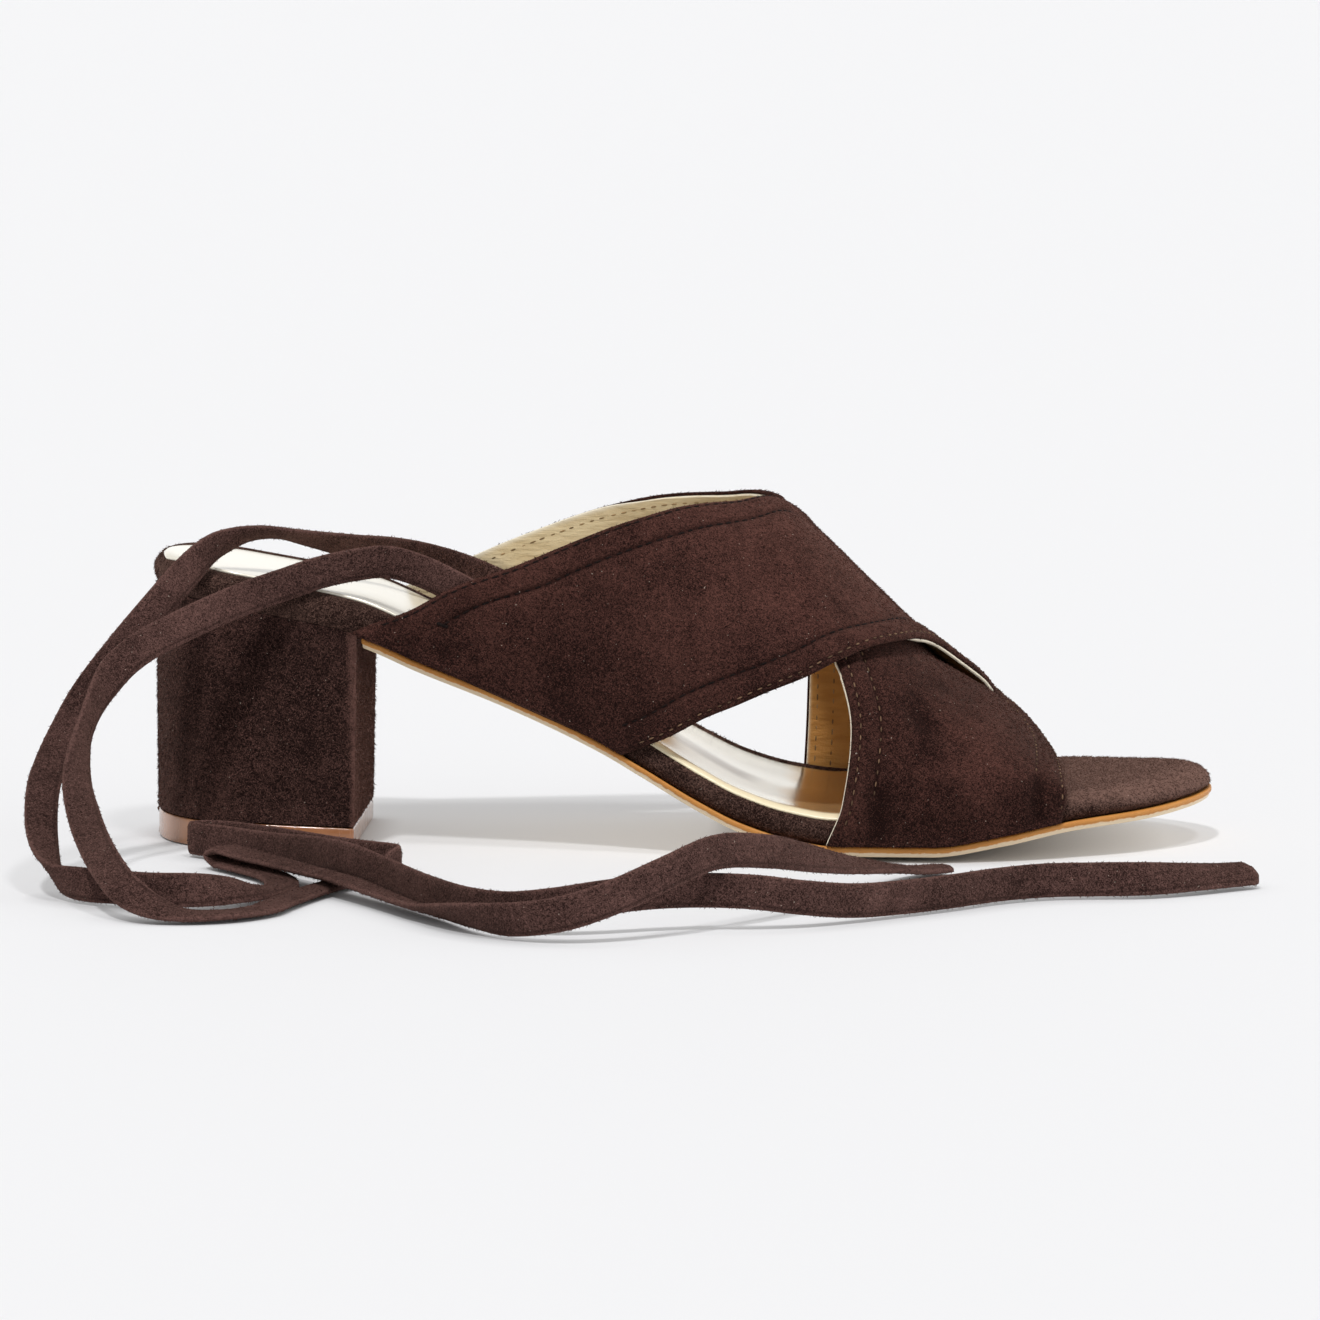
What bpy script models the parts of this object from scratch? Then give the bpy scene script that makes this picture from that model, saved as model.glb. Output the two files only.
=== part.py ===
"""Crossed-strap mule with a block heel and long ankle ties: the right shoe of a pair.

The sizes below are millimetres and the model is metres. +Z is up, the toe points along +X and the
outer side of the foot lies along -Y. A station is a distance from the back of the heel, and a share
runs around the foot from the outer feather line (0) over the instep ridge (0.5) to the inner one (1).
"""

import math
from collections import namedtuple

import bmesh
import bpy
import numpy as np

MM = 0.001

# Driving sizes
LENGTH = 236.0
ORIGIN_STATION = 118.0
ORIGIN_SIDE = 0.1
HEEL_ROUND = 18.0
TOE_START = 190.0
TOE_POWER = 2.2
TOE_TIP_SHIFT = 3.0
OUTSOLE_THICKNESS = 2.2
OUTSOLE_WELT = 1.0
OUTSOLE_BACK = 48.8
CROWN = 1.0
CROWN_FLAT = 0.6
CLEARANCE = 0.3
SEAT_CLEARANCE = 0.4
STRAP_WALL = 1.8
STRAP_RISE = 6.5
STRAP_ROUNDNESS = 2.3
CROSSING_STEP = 1.2
SOCK_THICKNESS = 0.7
SOCK_INSET = 3.2
SOCK_FRONT = 186.0
HEEL_BREAST_TOP = 47.3
HEEL_BREAST_FOOT = 46.4
HEEL_INSET_TOP = 1.0
HEEL_INSET_FOOT = 1.7
HEEL_BACK = 0.3
LIFT_BACK = 6.2
LIFT_BREAST = 4.6
TIE_WIDTH = 7.2
TIE_THICKNESS = 1.6

# Footbed stations: underside height on the middle line, pad thickness, half widths
Station = namedtuple("Station", "at under pad outer inner")
STATIONS = (
    Station(0, 57.3, 7.0, 26.0, 26.0),
    Station(20, 53.5, 7.0, 26.6, 26.6),
    Station(40, 49.7, 7.0, 27.8, 27.3),
    Station(48, 47.7, 7.0, 28.0, 27.3),
    Station(61, 42.1, 7.0, 28.4, 26.6),
    Station(79, 34.7, 7.0, 29.2, 26.0),
    Station(101, 24.2, 7.0, 31.5, 27.6),
    Station(110, 19.0, 7.0, 33.0, 29.0),
    Station(123, 11.5, 6.8, 35.4, 31.8),
    Station(132, 7.2, 6.6, 37.2, 34.0),
    Station(143, 3.9, 6.5, 39.0, 36.6),
    Station(153, 2.5, 6.5, 40.3, 38.6),
    Station(174, 2.5, 6.5, 40.8, 41.0),
    Station(189, 4.6, 6.4, 38.8, 40.6),
    Station(203, 7.3, 6.2, 35.4, 38.4),
    Station(222, 9.7, 6.0, 31.0, 34.0),
    Station(236, 12.0, 5.5, 27.0, 30.0),
)

# The last over the foot: height and sideways place of the instep ridge
Ridge = namedtuple("Ridge", "at height side")
RIDGE = (
    Ridge(40, 127.3, 2),
    Ridge(70, 119.3, 3),
    Ridge(93, 109.3, 4),
    Ridge(105, 102.3, 5),
    Ridge(118, 92.8, 6),
    Ridge(130, 82.8, 7),
    Ridge(142, 72.8, 8),
    Ridge(160, 56.6, 8),
    Ridge(178, 39.5, 8),
    Ridge(186, 33.4, 8),
    Ridge(194, 27.4, 7),
    Ridge(200, 21.8, 6),
    Ridge(205, 16.8, 5),
)

# Strap edges: the stations of the rear and front edge at each share around the foot
Edges = namedtuple("Edges", "at rear front")
OVER_STRAP = (
    Edges(0.00, 46, 106),
    Edges(0.05, 58, 116),
    Edges(0.10, 68.5, 125),
    Edges(0.15, 81.5, 136),
    Edges(0.20, 93, 148),
    Edges(0.25, 104, 158),
    Edges(0.30, 114.5, 165.5),
    Edges(0.40, 132.5, 174),
    Edges(0.50, 140, 182),
    Edges(0.62, 143.5, 191),
    Edges(0.75, 145.5, 198.5),
    Edges(0.88, 145, 203),
    Edges(1.00, 144, 203),
)
UNDER_STRAP = (
    Edges(0.00, 151, 202.5),
    Edges(0.05, 154.5, 203.5),
    Edges(0.15, 156.5, 203),
    Edges(0.25, 152.5, 202.5),
    Edges(0.33, 148, 201.8),
    Edges(0.42, 144, 200),
    Edges(0.50, 140, 196.5),
    Edges(0.60, 132, 186),
    Edges(0.70, 111.5, 169),
    Edges(0.80, 89, 147),
    Edges(0.90, 66, 125),
    Edges(0.95, 55.5, 116),
    Edges(1.00, 46, 106),
)

# The padded footbed's edge: how far in from the outline, and share of the pad's height
PadRow = namedtuple("PadRow", "inset height")
PAD_CENTRE = 34.0
PAD_END_DRAW = 5.0
PAD_ROWS = (
    PadRow(PAD_CENTRE, 0.0),
    PadRow(14.0, 0.0),
    PadRow(6.0, 0.0),
    PadRow(1.2, 0.0),
    PadRow(0.2, 0.14),
    PadRow(0.0, 0.42),
    PadRow(0.4, 0.72),
    PadRow(1.3, 0.92),
    PadRow(3.0, 1.0),
    PadRow(7.0, 1.0),
    PadRow(14.0, 1.0),
    PadRow(PAD_CENTRE, 1.0),
)

# Ties: places of the band's middle, and the lean of its width from upright (90 lies flat)
Lay = namedtuple("Lay", "x y z lean")
INNER_TIE = (
    Lay(-42, 24.2, 53.5, 8),
    Lay(-50, 22.8, 57, 6),
    Lay(-58, 18, 60, 10),
    Lay(-66, 10.5, 62.5, 25),
    Lay(-74, 2.5, 64.5, 45),
    Lay(-82, -5, 66.8, 65),
    Lay(-88, -11, 68.5, 75),
    Lay(-94, -16.5, 69, 60),
    Lay(-99, -21, 68, 35),
    Lay(-103, -25.5, 66.3, 10),
    Lay(-107.5, -31, 62, -15),
    Lay(-113, -37.5, 55.5, -32),
    Lay(-120, -45, 47, -40),
    Lay(-127, -53, 37.5, -50),
    Lay(-131, -61, 29.5, -62),
    Lay(-133, -69, 24, -72),
    Lay(-133.5, -78, 19.5, -78),
    Lay(-132.5, -88, 12.5, -75),
    Lay(-130, -97, 7.2, -55),
    Lay(-127, -104, 4.6, -25),
    Lay(-121, -109, 4.1, 0),
    Lay(-113.5, -112.8, 4.1, 0),
    Lay(-105, -116, 4.1, 0),
    Lay(-96.5, -115.5, 4.0, 20),
    Lay(-89, -109.5, 3.2, 50),
    Lay(-84, -102, 1.9, 78),
    Lay(-81.5, -93, 1.2, 90),
    Lay(-82, -84, 1.2, 90),
    Lay(-85, -75, 1.2, 90),
    Lay(-90, -67, 1.2, 90),
    Lay(-94.5, -60.5, 1.2, 90),
    Lay(-97, -57, 1.3, 90),
    Lay(-98.7, -54.6, 2.8, -90),
    Lay(-96.7, -57.4, 4.3, -90),
    Lay(-94, -61, 4.2, -90),
    Lay(-90, -66, 4.0, -90),
    Lay(-84, -73.5, 3.8, -90),
    Lay(-76, -84, 3.5, -88),
    Lay(-67, -97.5, 3.5, -85),
    Lay(-58, -111.5, 2.6, -80),
    Lay(-48, -129, 2.3, -70),
    Lay(-38, -146, 3.6, -40),
    Lay(-28, -155, 4.3, -10),
    Lay(-18, -158, 6.0, 0),
    Lay(-8, -157, 9.2, 0),
    Lay(2, -152, 13.2, 0),
    Lay(12, -142, 16.3, 5),
    Lay(22, -129, 14.8, 15),
    Lay(31, -113, 11.2, 35),
    Lay(39, -95, 7.4, 60),
    Lay(47, -77, 4.0, 80),
    Lay(53, -65, 1.8, 88),
    Lay(59, -58, 1.2, 90),
)
OUTER_TIE = (
    Lay(-42, -27.6, 54.5, 0),
    Lay(-50, -26.4, 58.8, 0),
    Lay(-57, -24.8, 61.8, 0),
    Lay(-64, -24.2, 63.6, 0),
    Lay(-71, -25, 63, 0),
    Lay(-79, -27.2, 61.4, 0),
    Lay(-86, -30, 59.2, -5),
    Lay(-93, -33.5, 57, -10),
    Lay(-101, -38.5, 54, -15),
    Lay(-108, -44, 51, -22),
    Lay(-115, -50.5, 47.5, -30),
    Lay(-120, -56, 43.5, -30),
    Lay(-123.5, -62, 38, -5),
    Lay(-125.3, -68.5, 32.5, 10),
    Lay(-125.7, -76, 27.5, -25),
    Lay(-125, -86, 22.5, -60),
    Lay(-122.5, -97, 17.8, -65),
    Lay(-119, -109, 13.6, -60),
    Lay(-114.5, -121.5, 9.8, -45),
    Lay(-109.5, -129.5, 5.9, -45),
    Lay(-104, -133, 3.2, -65),
    Lay(-97, -133.5, 1.5, -88),
    Lay(-89, -131, 1.3, -90),
    Lay(-82.5, -124, 1.2, -90),
    Lay(-79.5, -114, 1.2, -90),
    Lay(-76.5, -104, 1.2, -90),
    Lay(-73, -94, 1.2, -90),
    Lay(-69, -85, 1.2, -90),
    Lay(-64.5, -78, 1.6, -82),
    Lay(-60, -75, 4.0, -35),
    Lay(-58, -72.8, 4.1, 0),
    Lay(-60, -70, 4.1, 0),
    Lay(-65, -66.5, 4.1, 0),
    Lay(-72, -61, 4.1, 0),
    Lay(-80, -53, 4.1, 0),
    Lay(-90, -43.5, 4.1, 0),
    Lay(-98, -37.5, 4.1, 0),
    Lay(-103.3, -36, 4.1, 0),
    Lay(-106.3, -38.2, 4.1, 0),
    Lay(-104, -41, 4.1, 0),
    Lay(-98.5, -44.5, 4.1, 0),
    Lay(-92, -50.5, 4.1, 0),
    Lay(-85, -58, 4.4, 0),
    Lay(-76, -71, 5.6, 0),
    Lay(-67, -86, 6.3, 0),
    Lay(-58, -100, 5.2, 0),
    Lay(-48, -117.5, 4.2, 0),
    Lay(-38, -134, 4.1, 0),
    Lay(-29, -144, 4.8, 0),
    Lay(-20, -147.5, 6.2, 0),
    Lay(-10, -146, 7.6, 0),
    Lay(0, -142, 8.2, 0),
    Lay(10, -139.5, 8.2, 0),
    Lay(20, -139, 7.8, 0),
    Lay(30, -135.5, 6.2, 0),
    Lay(40, -128.5, 4.6, 0),
    Lay(50, -120, 4.1, 0),
    Lay(60, -111.5, 4.1, 0),
    Lay(70, -101.5, 4.1, 0),
    Lay(80, -95, 4.1, 5),
    Lay(91, -93, 4.1, 5),
    Lay(101, -91, 4.0, 22),
    Lay(110, -85.5, 3.6, 42),
    Lay(118, -79, 3.1, 54),
    Lay(124.5, -74, 2.9, 58),
)

SUEDE = (0.045, 0.024, 0.019, 1.0)
TIE_SUEDE = (0.055, 0.032, 0.026, 1.0)
SOCK_GOLD = (0.78, 0.72, 0.58, 1.0)
SOLE_TAN = (0.55, 0.26, 0.08, 1.0)
LIFT_TAN = (0.50, 0.24, 0.13, 1.0)


def smooth(rows, column, at):
    """Read a column of a table at a place between its rows, with no overshoot."""
    places = [row.at for row in rows]
    values = [getattr(row, column) for row in rows]
    gaps = np.diff(places)
    slopes = np.diff(values) / gaps
    turns = np.zeros(len(rows))
    turns[0], turns[-1] = slopes[0], slopes[-1]
    for i in range(1, len(rows) - 1):
        if slopes[i - 1] * slopes[i] > 0:
            before = 2 * gaps[i] + gaps[i - 1]
            after = gaps[i] + 2 * gaps[i - 1]
            turns[i] = (before + after) / (before / slopes[i - 1] + after / slopes[i])
    at = min(max(at, places[0]), places[-1])
    i = min(max(int(np.searchsorted(places, at)) - 1, 0), len(rows) - 2)
    t = (at - places[i]) / gaps[i]
    start = (1 + 2 * t) * values[i] + t * gaps[i] * turns[i]
    end = (3 - 2 * t) * values[i + 1] + (t - 1) * gaps[i] * turns[i + 1]
    return start * (1 - t) ** 2 + end * t * t


def ease(share):
    """Soft step from 0 to 1."""
    share = min(max(share, 0.0), 1.0)
    return share * share * (3 - 2 * share)


def middle(station):
    """Sideways place of the sole's middle line, which bends inward at the toe."""
    return TOE_TIP_SHIFT * ease((station - LENGTH / 2) / (LENGTH / 2))


def end_rounding(station):
    """Share of the half width that is left towards the round heel seat and the round toe."""
    back = min(max(1 - station / HEEL_ROUND, 0.0), 1.0)
    front = min(max((station - TOE_START) / (LENGTH - TOE_START), 0.0), 1.0)
    return math.sqrt(1 - back * back) * (1 - front**TOE_POWER) ** (1 / TOE_POWER)


def outline(station, inner, grow=0.0):
    """Sideways place of the footbed's outline, on its inner or outer side."""
    width = smooth(STATIONS, "inner", station) if inner else -smooth(STATIONS, "outer", station)
    width += math.copysign(grow, width)
    return middle(station) + (width - middle(station)) * end_rounding(station)


def underside(station, side):
    """Height of the footbed's underside, which is crowned across the forefoot."""
    edge = abs(outline(station, side > middle(station)) - middle(station))
    share = min(abs(side - middle(station)) / max(edge, HEEL_ROUND), 1.1)
    crown = CROWN * ease((station - OUTSOLE_BACK) / (LENGTH / 2 - OUTSOLE_BACK))
    edge_share = max(share - CROWN_FLAT, 0.0) / (1 - CROWN_FLAT)
    return smooth(STATIONS, "under", station) + crown * edge_share**2


def section_half(station, inner, lift):
    """One half of the last's outer skin at a station, from feather line to ridge, with its girth shares."""
    sign = 1 if inner else -1
    feather = outline(station, inner)
    foot = feather + sign * (CLEARANCE + STRAP_WALL + lift)
    base = underside(station, feather)
    crest = smooth(RIDGE, "height", station) + lift * math.sqrt(2)
    crest_side = smooth(RIDGE, "side", station)
    angle = np.linspace(0, math.pi / 2, 33)
    power = 2 / STRAP_ROUNDNESS
    side = crest_side + (foot - crest_side) * np.cos(angle) ** power
    height = base + STRAP_RISE + (crest - base - STRAP_RISE) * np.sin(angle) ** power
    side = np.concatenate(([foot], side))
    height = np.concatenate(([base], height))
    girth = np.concatenate(([0], np.cumsum(np.hypot(np.diff(side), np.diff(height)))))
    return side, height, girth / girth[-1]


def skin(station, share, lift=0.0):
    """A point of the last's outer skin."""
    inner = share > 0.5
    side, height, girth = section_half(station, inner, lift)
    climb = 2 * (1 - share) if inner else 2 * share
    return station, np.interp(climb, girth, side), np.interp(climb, girth, height)


def to_model(station, side, height):
    """Shoe sizes in millimetres to the model's metres."""
    return (station - ORIGIN_STATION) * MM, (side - ORIGIN_SIDE) * MM, height * MM


def material(name, colour, roughness, metallic=0.0):
    made = bpy.data.materials.new(name)
    made.use_nodes = True
    shader = made.node_tree.nodes["Principled BSDF"]
    shader.inputs["Base Color"].default_value = colour
    shader.inputs["Roughness"].default_value = roughness
    shader.inputs["Metallic"].default_value = metallic
    return made


def mapped_grid(name, cells, place, collection, finish):
    """A grid primitive whose two unit coordinates are mapped to points of the shoe."""
    mesh = bpy.data.meshes.new(name)
    grid = bmesh.new()
    bmesh.ops.create_grid(grid, x_segments=cells[0], y_segments=cells[1], size=0.5)
    for vert in grid.verts:
        vert.co = place(vert.co.x + 0.5, vert.co.y + 0.5)
    bmesh.ops.remove_doubles(grid, verts=grid.verts, dist=0.00001)
    bmesh.ops.dissolve_degenerate(grid, edges=grid.edges, dist=0.00001)
    grid.to_mesh(mesh)
    grid.free()
    made = bpy.data.objects.new(name, mesh)
    mesh.materials.append(finish)
    collection.objects.link(made)
    mesh.shade_smooth()
    return made


def close_up(made):
    """Turn the faces of a closed mesh outwards."""
    shell = bmesh.new()
    shell.from_mesh(made.data)
    bmesh.ops.recalc_face_normals(shell, faces=shell.faces)
    shell.to_mesh(made.data)
    shell.free()
    made.data.shade_smooth()


def solidify(made, thickness, offset):
    wall = made.modifiers.new("wall", "SOLIDIFY")
    wall.thickness = thickness * MM
    wall.offset = offset
    wall.use_even_offset = True
    wall.use_quality_normals = True


def ring_place(turn, inset):
    """A point on the footbed's outline, drawn in by an inset. The turn runs heel, outer side, toe, inner side."""
    station = LENGTH / 2 * (1 - math.cos(2 * math.pi * turn))
    side = outline(station, turn > 0.5)
    draw = min(inset, PAD_END_DRAW)
    station = LENGTH / 2 + (station - LENGTH / 2) * (1 - 2 * draw / LENGTH)
    side = middle(station) + (side - middle(station)) * (1 - inset / PAD_CENTRE)
    return station, side


def make_footbed(collection, finish):
    """Padded insole board wrapped in suede, heel to toe."""
    rows = len(PAD_ROWS) - 1

    def place(turn, level):
        row = PAD_ROWS[round(level * rows)]
        station, side = ring_place(turn, row.inset)
        height = underside(station, side) + smooth(STATIONS, "pad", station) * row.height
        return to_model(station, side, height)

    close_up(mapped_grid("footbed", (88, rows), place, collection, finish))


def make_sock(collection, finish):
    """Thin metallic leather sheet laid on the footbed from the heel to under the front strap."""
    back, _ = ring_place(0.0, SOCK_INSET)

    def place(along, across):
        station = back + (SOCK_FRONT - back) * (1 - math.cos(along * math.pi / 2))
        turn = math.acos(1 - 2 * (station - SOCK_INSET) / (LENGTH - 2 * SOCK_INSET)) / (2 * math.pi)
        _, outer = ring_place(turn, SOCK_INSET)
        _, inner = ring_place(1 - turn, SOCK_INSET)
        side = outer + (inner - outer) * across
        rise = smooth(STATIONS, "pad", station) + CLEARANCE + SOCK_THICKNESS
        return to_model(station, side, underside(station, side) + rise)

    solidify(mapped_grid("insole_sock", (48, 8), place, collection, finish), SOCK_THICKNESS, -1)


def make_outsole(collection, finish):
    """Leather outsole from the heel breast to the toe, flat under the ball."""
    reach = LENGTH - OUTSOLE_BACK

    def place(along, across):
        station = OUTSOLE_BACK + reach * math.sin(along * math.pi / 2)
        outer = outline(station, False, OUTSOLE_WELT)
        inner = outline(station, True, OUTSOLE_WELT)
        side = outer + (inner - outer) * across
        return to_model(station, side, underside(station, side) - CLEARANCE)

    solidify(mapped_grid("outsole", (40, 8), place, collection, finish), OUTSOLE_THICKNESS, -1)


def strap_surface(name, edges, rise, collection, finish):
    """One strap: a grid between its two edges on the last's skin, with its wall inside."""

    def place(around, across):
        rear = smooth(edges, "rear", around)
        front = smooth(edges, "front", around)
        return to_model(*skin(rear + (front - rear) * across, around, rise(around)))

    made = mapped_grid(name, (44, 10), place, collection, finish)
    solidify(made, STRAP_WALL, 1)
    return made


def crossing_rise(around):
    """The upper strap stands over the lower one at the crossing and comes down at both feather lines."""
    return CROSSING_STEP * ease((around - 0.06) / 0.14) * ease((0.96 - around) / 0.13)


def make_upper(collection, helpers, finish):
    """Two wide straps that cross over the instep, joined there into one wall."""
    upper = strap_surface("crossed_strap_upper", OVER_STRAP, crossing_rise, collection, finish)
    lower = strap_surface("lower_strap_half", UNDER_STRAP, lambda around: 0.0, helpers, finish)
    lower.hide_render = True
    lower.display_type = "WIRE"
    join = upper.modifiers.new("crossing", "BOOLEAN")
    join.operation = "UNION"
    join.solver = "EXACT"
    join.object = lower


def heel_ring(turn, breast, inset):
    """A point on the heel's plan: round back, straight sides, flat breast."""
    breast_part = 0.16
    if turn > 1 - breast_part:
        across = (turn - (1 - breast_part)) / breast_part
        inner = outline(breast, True) - inset
        outer = outline(breast, False) + inset
        return breast, inner + (outer - inner) * across
    half = (1 - breast_part) / 2
    inner = turn > half
    along = (turn - half) / half if inner else 1 - turn / half
    station = breast * (1 - math.cos(along * math.pi / 2))
    side = outline(station, inner)
    return station + HEEL_BACK * (1 - station / breast), side - math.copysign(min(inset, abs(side)), side)


def lift_height(station):
    return LIFT_BACK + (LIFT_BREAST - LIFT_BACK) * station / HEEL_BREAST_FOOT


def heel_stack(name, levels, collection, finish):
    """A closed stack of heel plans: each level gives its breast, its inset, its draw to the middle and its height."""

    def place(turn, level):
        breast, inset, draw, height = levels[round(level * (len(levels) - 1))]
        station, side = heel_ring(turn, breast, inset)
        station = station + (breast / 2 - station) * draw * 0.6
        side = side * (1 - draw)
        return to_model(station, side, height(station, side))

    close_up(mapped_grid(name, (50, len(levels) - 1), place, collection, finish))


def make_heel_block(collection, finish):
    """Suede-covered block under the heel seat."""

    def foot(station, side):
        return lift_height(station) + CLEARANCE

    def seat(station, side):
        return underside(station, side) - SEAT_CLEARANCE

    levels = (
        (HEEL_BREAST_FOOT, HEEL_INSET_FOOT, 1.0, foot),
        (HEEL_BREAST_FOOT, HEEL_INSET_FOOT, 0.0, foot),
        (HEEL_BREAST_TOP, HEEL_INSET_TOP, 0.0, seat),
        (HEEL_BREAST_TOP, HEEL_INSET_TOP, 0.3, seat),
        (HEEL_BREAST_TOP, HEEL_INSET_TOP, 0.6, seat),
        (HEEL_BREAST_TOP, HEEL_INSET_TOP, 1.0, seat),
    )
    heel_stack("heel_block", levels, collection, finish)


def make_top_lift(collection, finish):
    """Hard walking piece under the heel block, a little thicker at the back."""

    def floor(station, side):
        return 0.0

    def top(station, side):
        return lift_height(station)

    levels = (
        (HEEL_BREAST_FOOT, HEEL_INSET_FOOT, 1.0, floor),
        (HEEL_BREAST_FOOT, HEEL_INSET_FOOT, 0.0, floor),
        (HEEL_BREAST_FOOT, HEEL_INSET_FOOT, 0.0, top),
        (HEEL_BREAST_FOOT, HEEL_INSET_FOOT, 1.0, top),
    )
    heel_stack("heel_top_lift", levels, collection, finish)


def unit(vector):
    return vector / np.linalg.norm(vector)


def lay_directions(route):
    """The width direction of a band at each row of its route."""
    places = np.array([(lay.x, lay.y, lay.z) for lay in route], float)
    directions = []
    for i, lay in enumerate(route):
        ahead = unit(places[min(i + 1, len(route) - 1)] - places[max(i - 1, 0)])
        upright = unit(np.array((0, 0, 1)) - ahead[2] * ahead)
        sideways = unit(np.cross((0, 0, 1), ahead))
        lean = math.radians(lay.lean)
        directions.append(math.cos(lean) * upright + math.sin(lean) * sideways)
    return np.hstack((places, np.array(directions)))


def curve_through(rows, steps):
    """A smooth curve through rows whose first three columns are places."""
    ends = [2 * rows[0] - rows[1], *rows, 2 * rows[-1] - rows[-2]]
    curve = []
    for a, b, c, d in zip(ends, ends[1:], ends[2:], ends[3:]):
        t0 = 0.0
        t1 = t0 + math.sqrt(np.linalg.norm(b[:3] - a[:3]))
        t2 = t1 + math.sqrt(np.linalg.norm(c[:3] - b[:3]))
        t3 = t2 + math.sqrt(np.linalg.norm(d[:3] - c[:3]))
        for t in np.linspace(t1, t2, steps, endpoint=False):
            ab = a + (b - a) * (t - t0) / (t1 - t0)
            bc = b + (c - b) * (t - t1) / (t2 - t1)
            cd = c + (d - c) * (t - t2) / (t3 - t2)
            abc = ab + (bc - ab) * (t - t0) / (t2 - t0)
            bcd = bc + (cd - bc) * (t - t1) / (t3 - t1)
            curve.append(abc + (bcd - abc) * (t - t1) / (t2 - t1))
    return curve + [rows[-1]]


def make_tie(name, route, collection, finish):
    """A flat suede band along its route."""
    curve = curve_through(lay_directions(route), 2)

    def place(along, across):
        row = curve[round(along * (len(curve) - 1))]
        return (row[:3] + unit(row[3:]) * TIE_WIDTH * (across - 0.5)) * MM

    band = mapped_grid(name, (len(curve) - 1, 1), place, collection, finish)
    wall = band.modifiers.new("wall", "SOLIDIFY")
    wall.thickness = TIE_THICKNESS * MM
    wall.offset = 0


def clear_scene():
    for old in list(bpy.data.objects):
        bpy.data.objects.remove(old)


def new_collection(name):
    made = bpy.data.collections.new(name)
    bpy.context.scene.collection.children.link(made)
    return made


def main():
    clear_scene()
    parts = new_collection("heeled_mule")
    helpers = new_collection("cutters")
    suede = material("brown_suede", SUEDE, 0.95)
    make_outsole(parts, material("tan_sole_leather", SOLE_TAN, 0.5))
    make_footbed(parts, suede)
    make_sock(parts, material("gold_sock_leather", SOCK_GOLD, 0.35, 0.6))
    make_upper(parts, helpers, suede)
    make_heel_block(parts, suede)
    make_top_lift(parts, material("tan_top_lift", LIFT_TAN, 0.25))
    tie_suede = material("tie_suede", TIE_SUEDE, 0.95)
    make_tie("inner_ankle_tie", INNER_TIE, parts, tie_suede)
    make_tie("outer_ankle_tie", OUTER_TIE, parts, tie_suede)


main()
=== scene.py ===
"""Looks of the crossed-strap mule with a block heel and long ankle ties, laid out as a Blender add-on.

The tables are millimetres of the shoe's own sizes and the meshes are metres. A station is a distance
from the back of the heel. A share runs around the foot from the outer feather line (0) over the
instep ridge (0.5) to the inner one (1).
"""

import math
from collections import namedtuple

import bpy
import numpy as np
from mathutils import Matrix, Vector


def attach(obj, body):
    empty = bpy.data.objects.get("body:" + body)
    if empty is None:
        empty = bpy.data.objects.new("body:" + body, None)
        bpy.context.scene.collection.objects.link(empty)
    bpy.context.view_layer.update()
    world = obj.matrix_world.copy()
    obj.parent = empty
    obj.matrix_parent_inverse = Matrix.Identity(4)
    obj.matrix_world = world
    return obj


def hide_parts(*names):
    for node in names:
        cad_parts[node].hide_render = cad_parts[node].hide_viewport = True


bl_info = {
    "name": "Crossed-strap mule",
    "version": (1, 0, 0),
    "blender": (4, 5, 0),
    "location": "View3D > Sidebar > Mule",
    "description": "Builds the suede straps, padded footbed, block heel and ankle ties of a mule",
    "category": "Add Mesh",
}

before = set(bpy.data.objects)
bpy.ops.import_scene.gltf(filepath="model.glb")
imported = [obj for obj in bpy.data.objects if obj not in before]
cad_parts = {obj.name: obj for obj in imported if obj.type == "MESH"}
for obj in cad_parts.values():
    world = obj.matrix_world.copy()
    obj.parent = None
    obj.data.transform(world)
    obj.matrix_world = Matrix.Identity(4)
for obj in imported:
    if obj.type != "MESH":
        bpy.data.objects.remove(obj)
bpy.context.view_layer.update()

MM = 0.001

# Driving sizes of the last and the sole
LENGTH = 236.0
ORIGIN_STATION = 118.0
ORIGIN_SIDE = 0.1
HEEL_ROUND = 18.0
TOE_START = 190.0
TOE_POWER = 2.2
TOE_TIP_SHIFT = 3.0
OUTSOLE_THICKNESS = 2.2
OUTSOLE_BACK = 48.8
CROWN = 1.0
CROWN_FLAT = 0.6
CROWN_FADE = 34.0
CLEARANCE = 0.3
SEAT_CLEARANCE = 0.12
STRAP_RISE = 6.5
STRAP_ROUNDNESS = 2.3
SOCK_FRONT = 186.0
HEEL_BREAST_TOP = 47.3
HEEL_BREAST_FOOT = 46.4
HEEL_INSET_TOP = 1.0
HEEL_INSET_FOOT = 1.7
HEEL_BACK = 0.3
LIFT_BACK = 6.2
LIFT_BREAST = 4.6

# Padded rim, rolled edge, sock, bevels and hems
PAD_CENTRE = 34.0
PAD_END_DRAW = 14.0
RIM_REACH = 4.6
RIM_DROP = 3.6
TOE_RIM_REACH = 8.5
TOE_RIM_DROP = 4.8
TOE_RIM_START = 198.0
TOE_RIM_RUN = 32.0
ROLL_HEIGHT = 1.5
ROLL_INSET = 2.2
ROLL_AT_BACK = 0.45
ROLL_FRONT = 170.0
ROLL_FADE = 20.0
OUTSOLE_GROW = 0.6
SOCK_THICKNESS = 0.65
SOCK_LIFT = 0.6
HEEL_BEVEL = 0.9
LIFT_BEVEL = 0.45
BEVEL_ANGLE = 38.0
HEM_FULLNESS = 0.25
EDGE_ROUNDING = 0.55
OVER_GROOVE = 0.42
UNDER_GROOVE = 0.24

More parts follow.
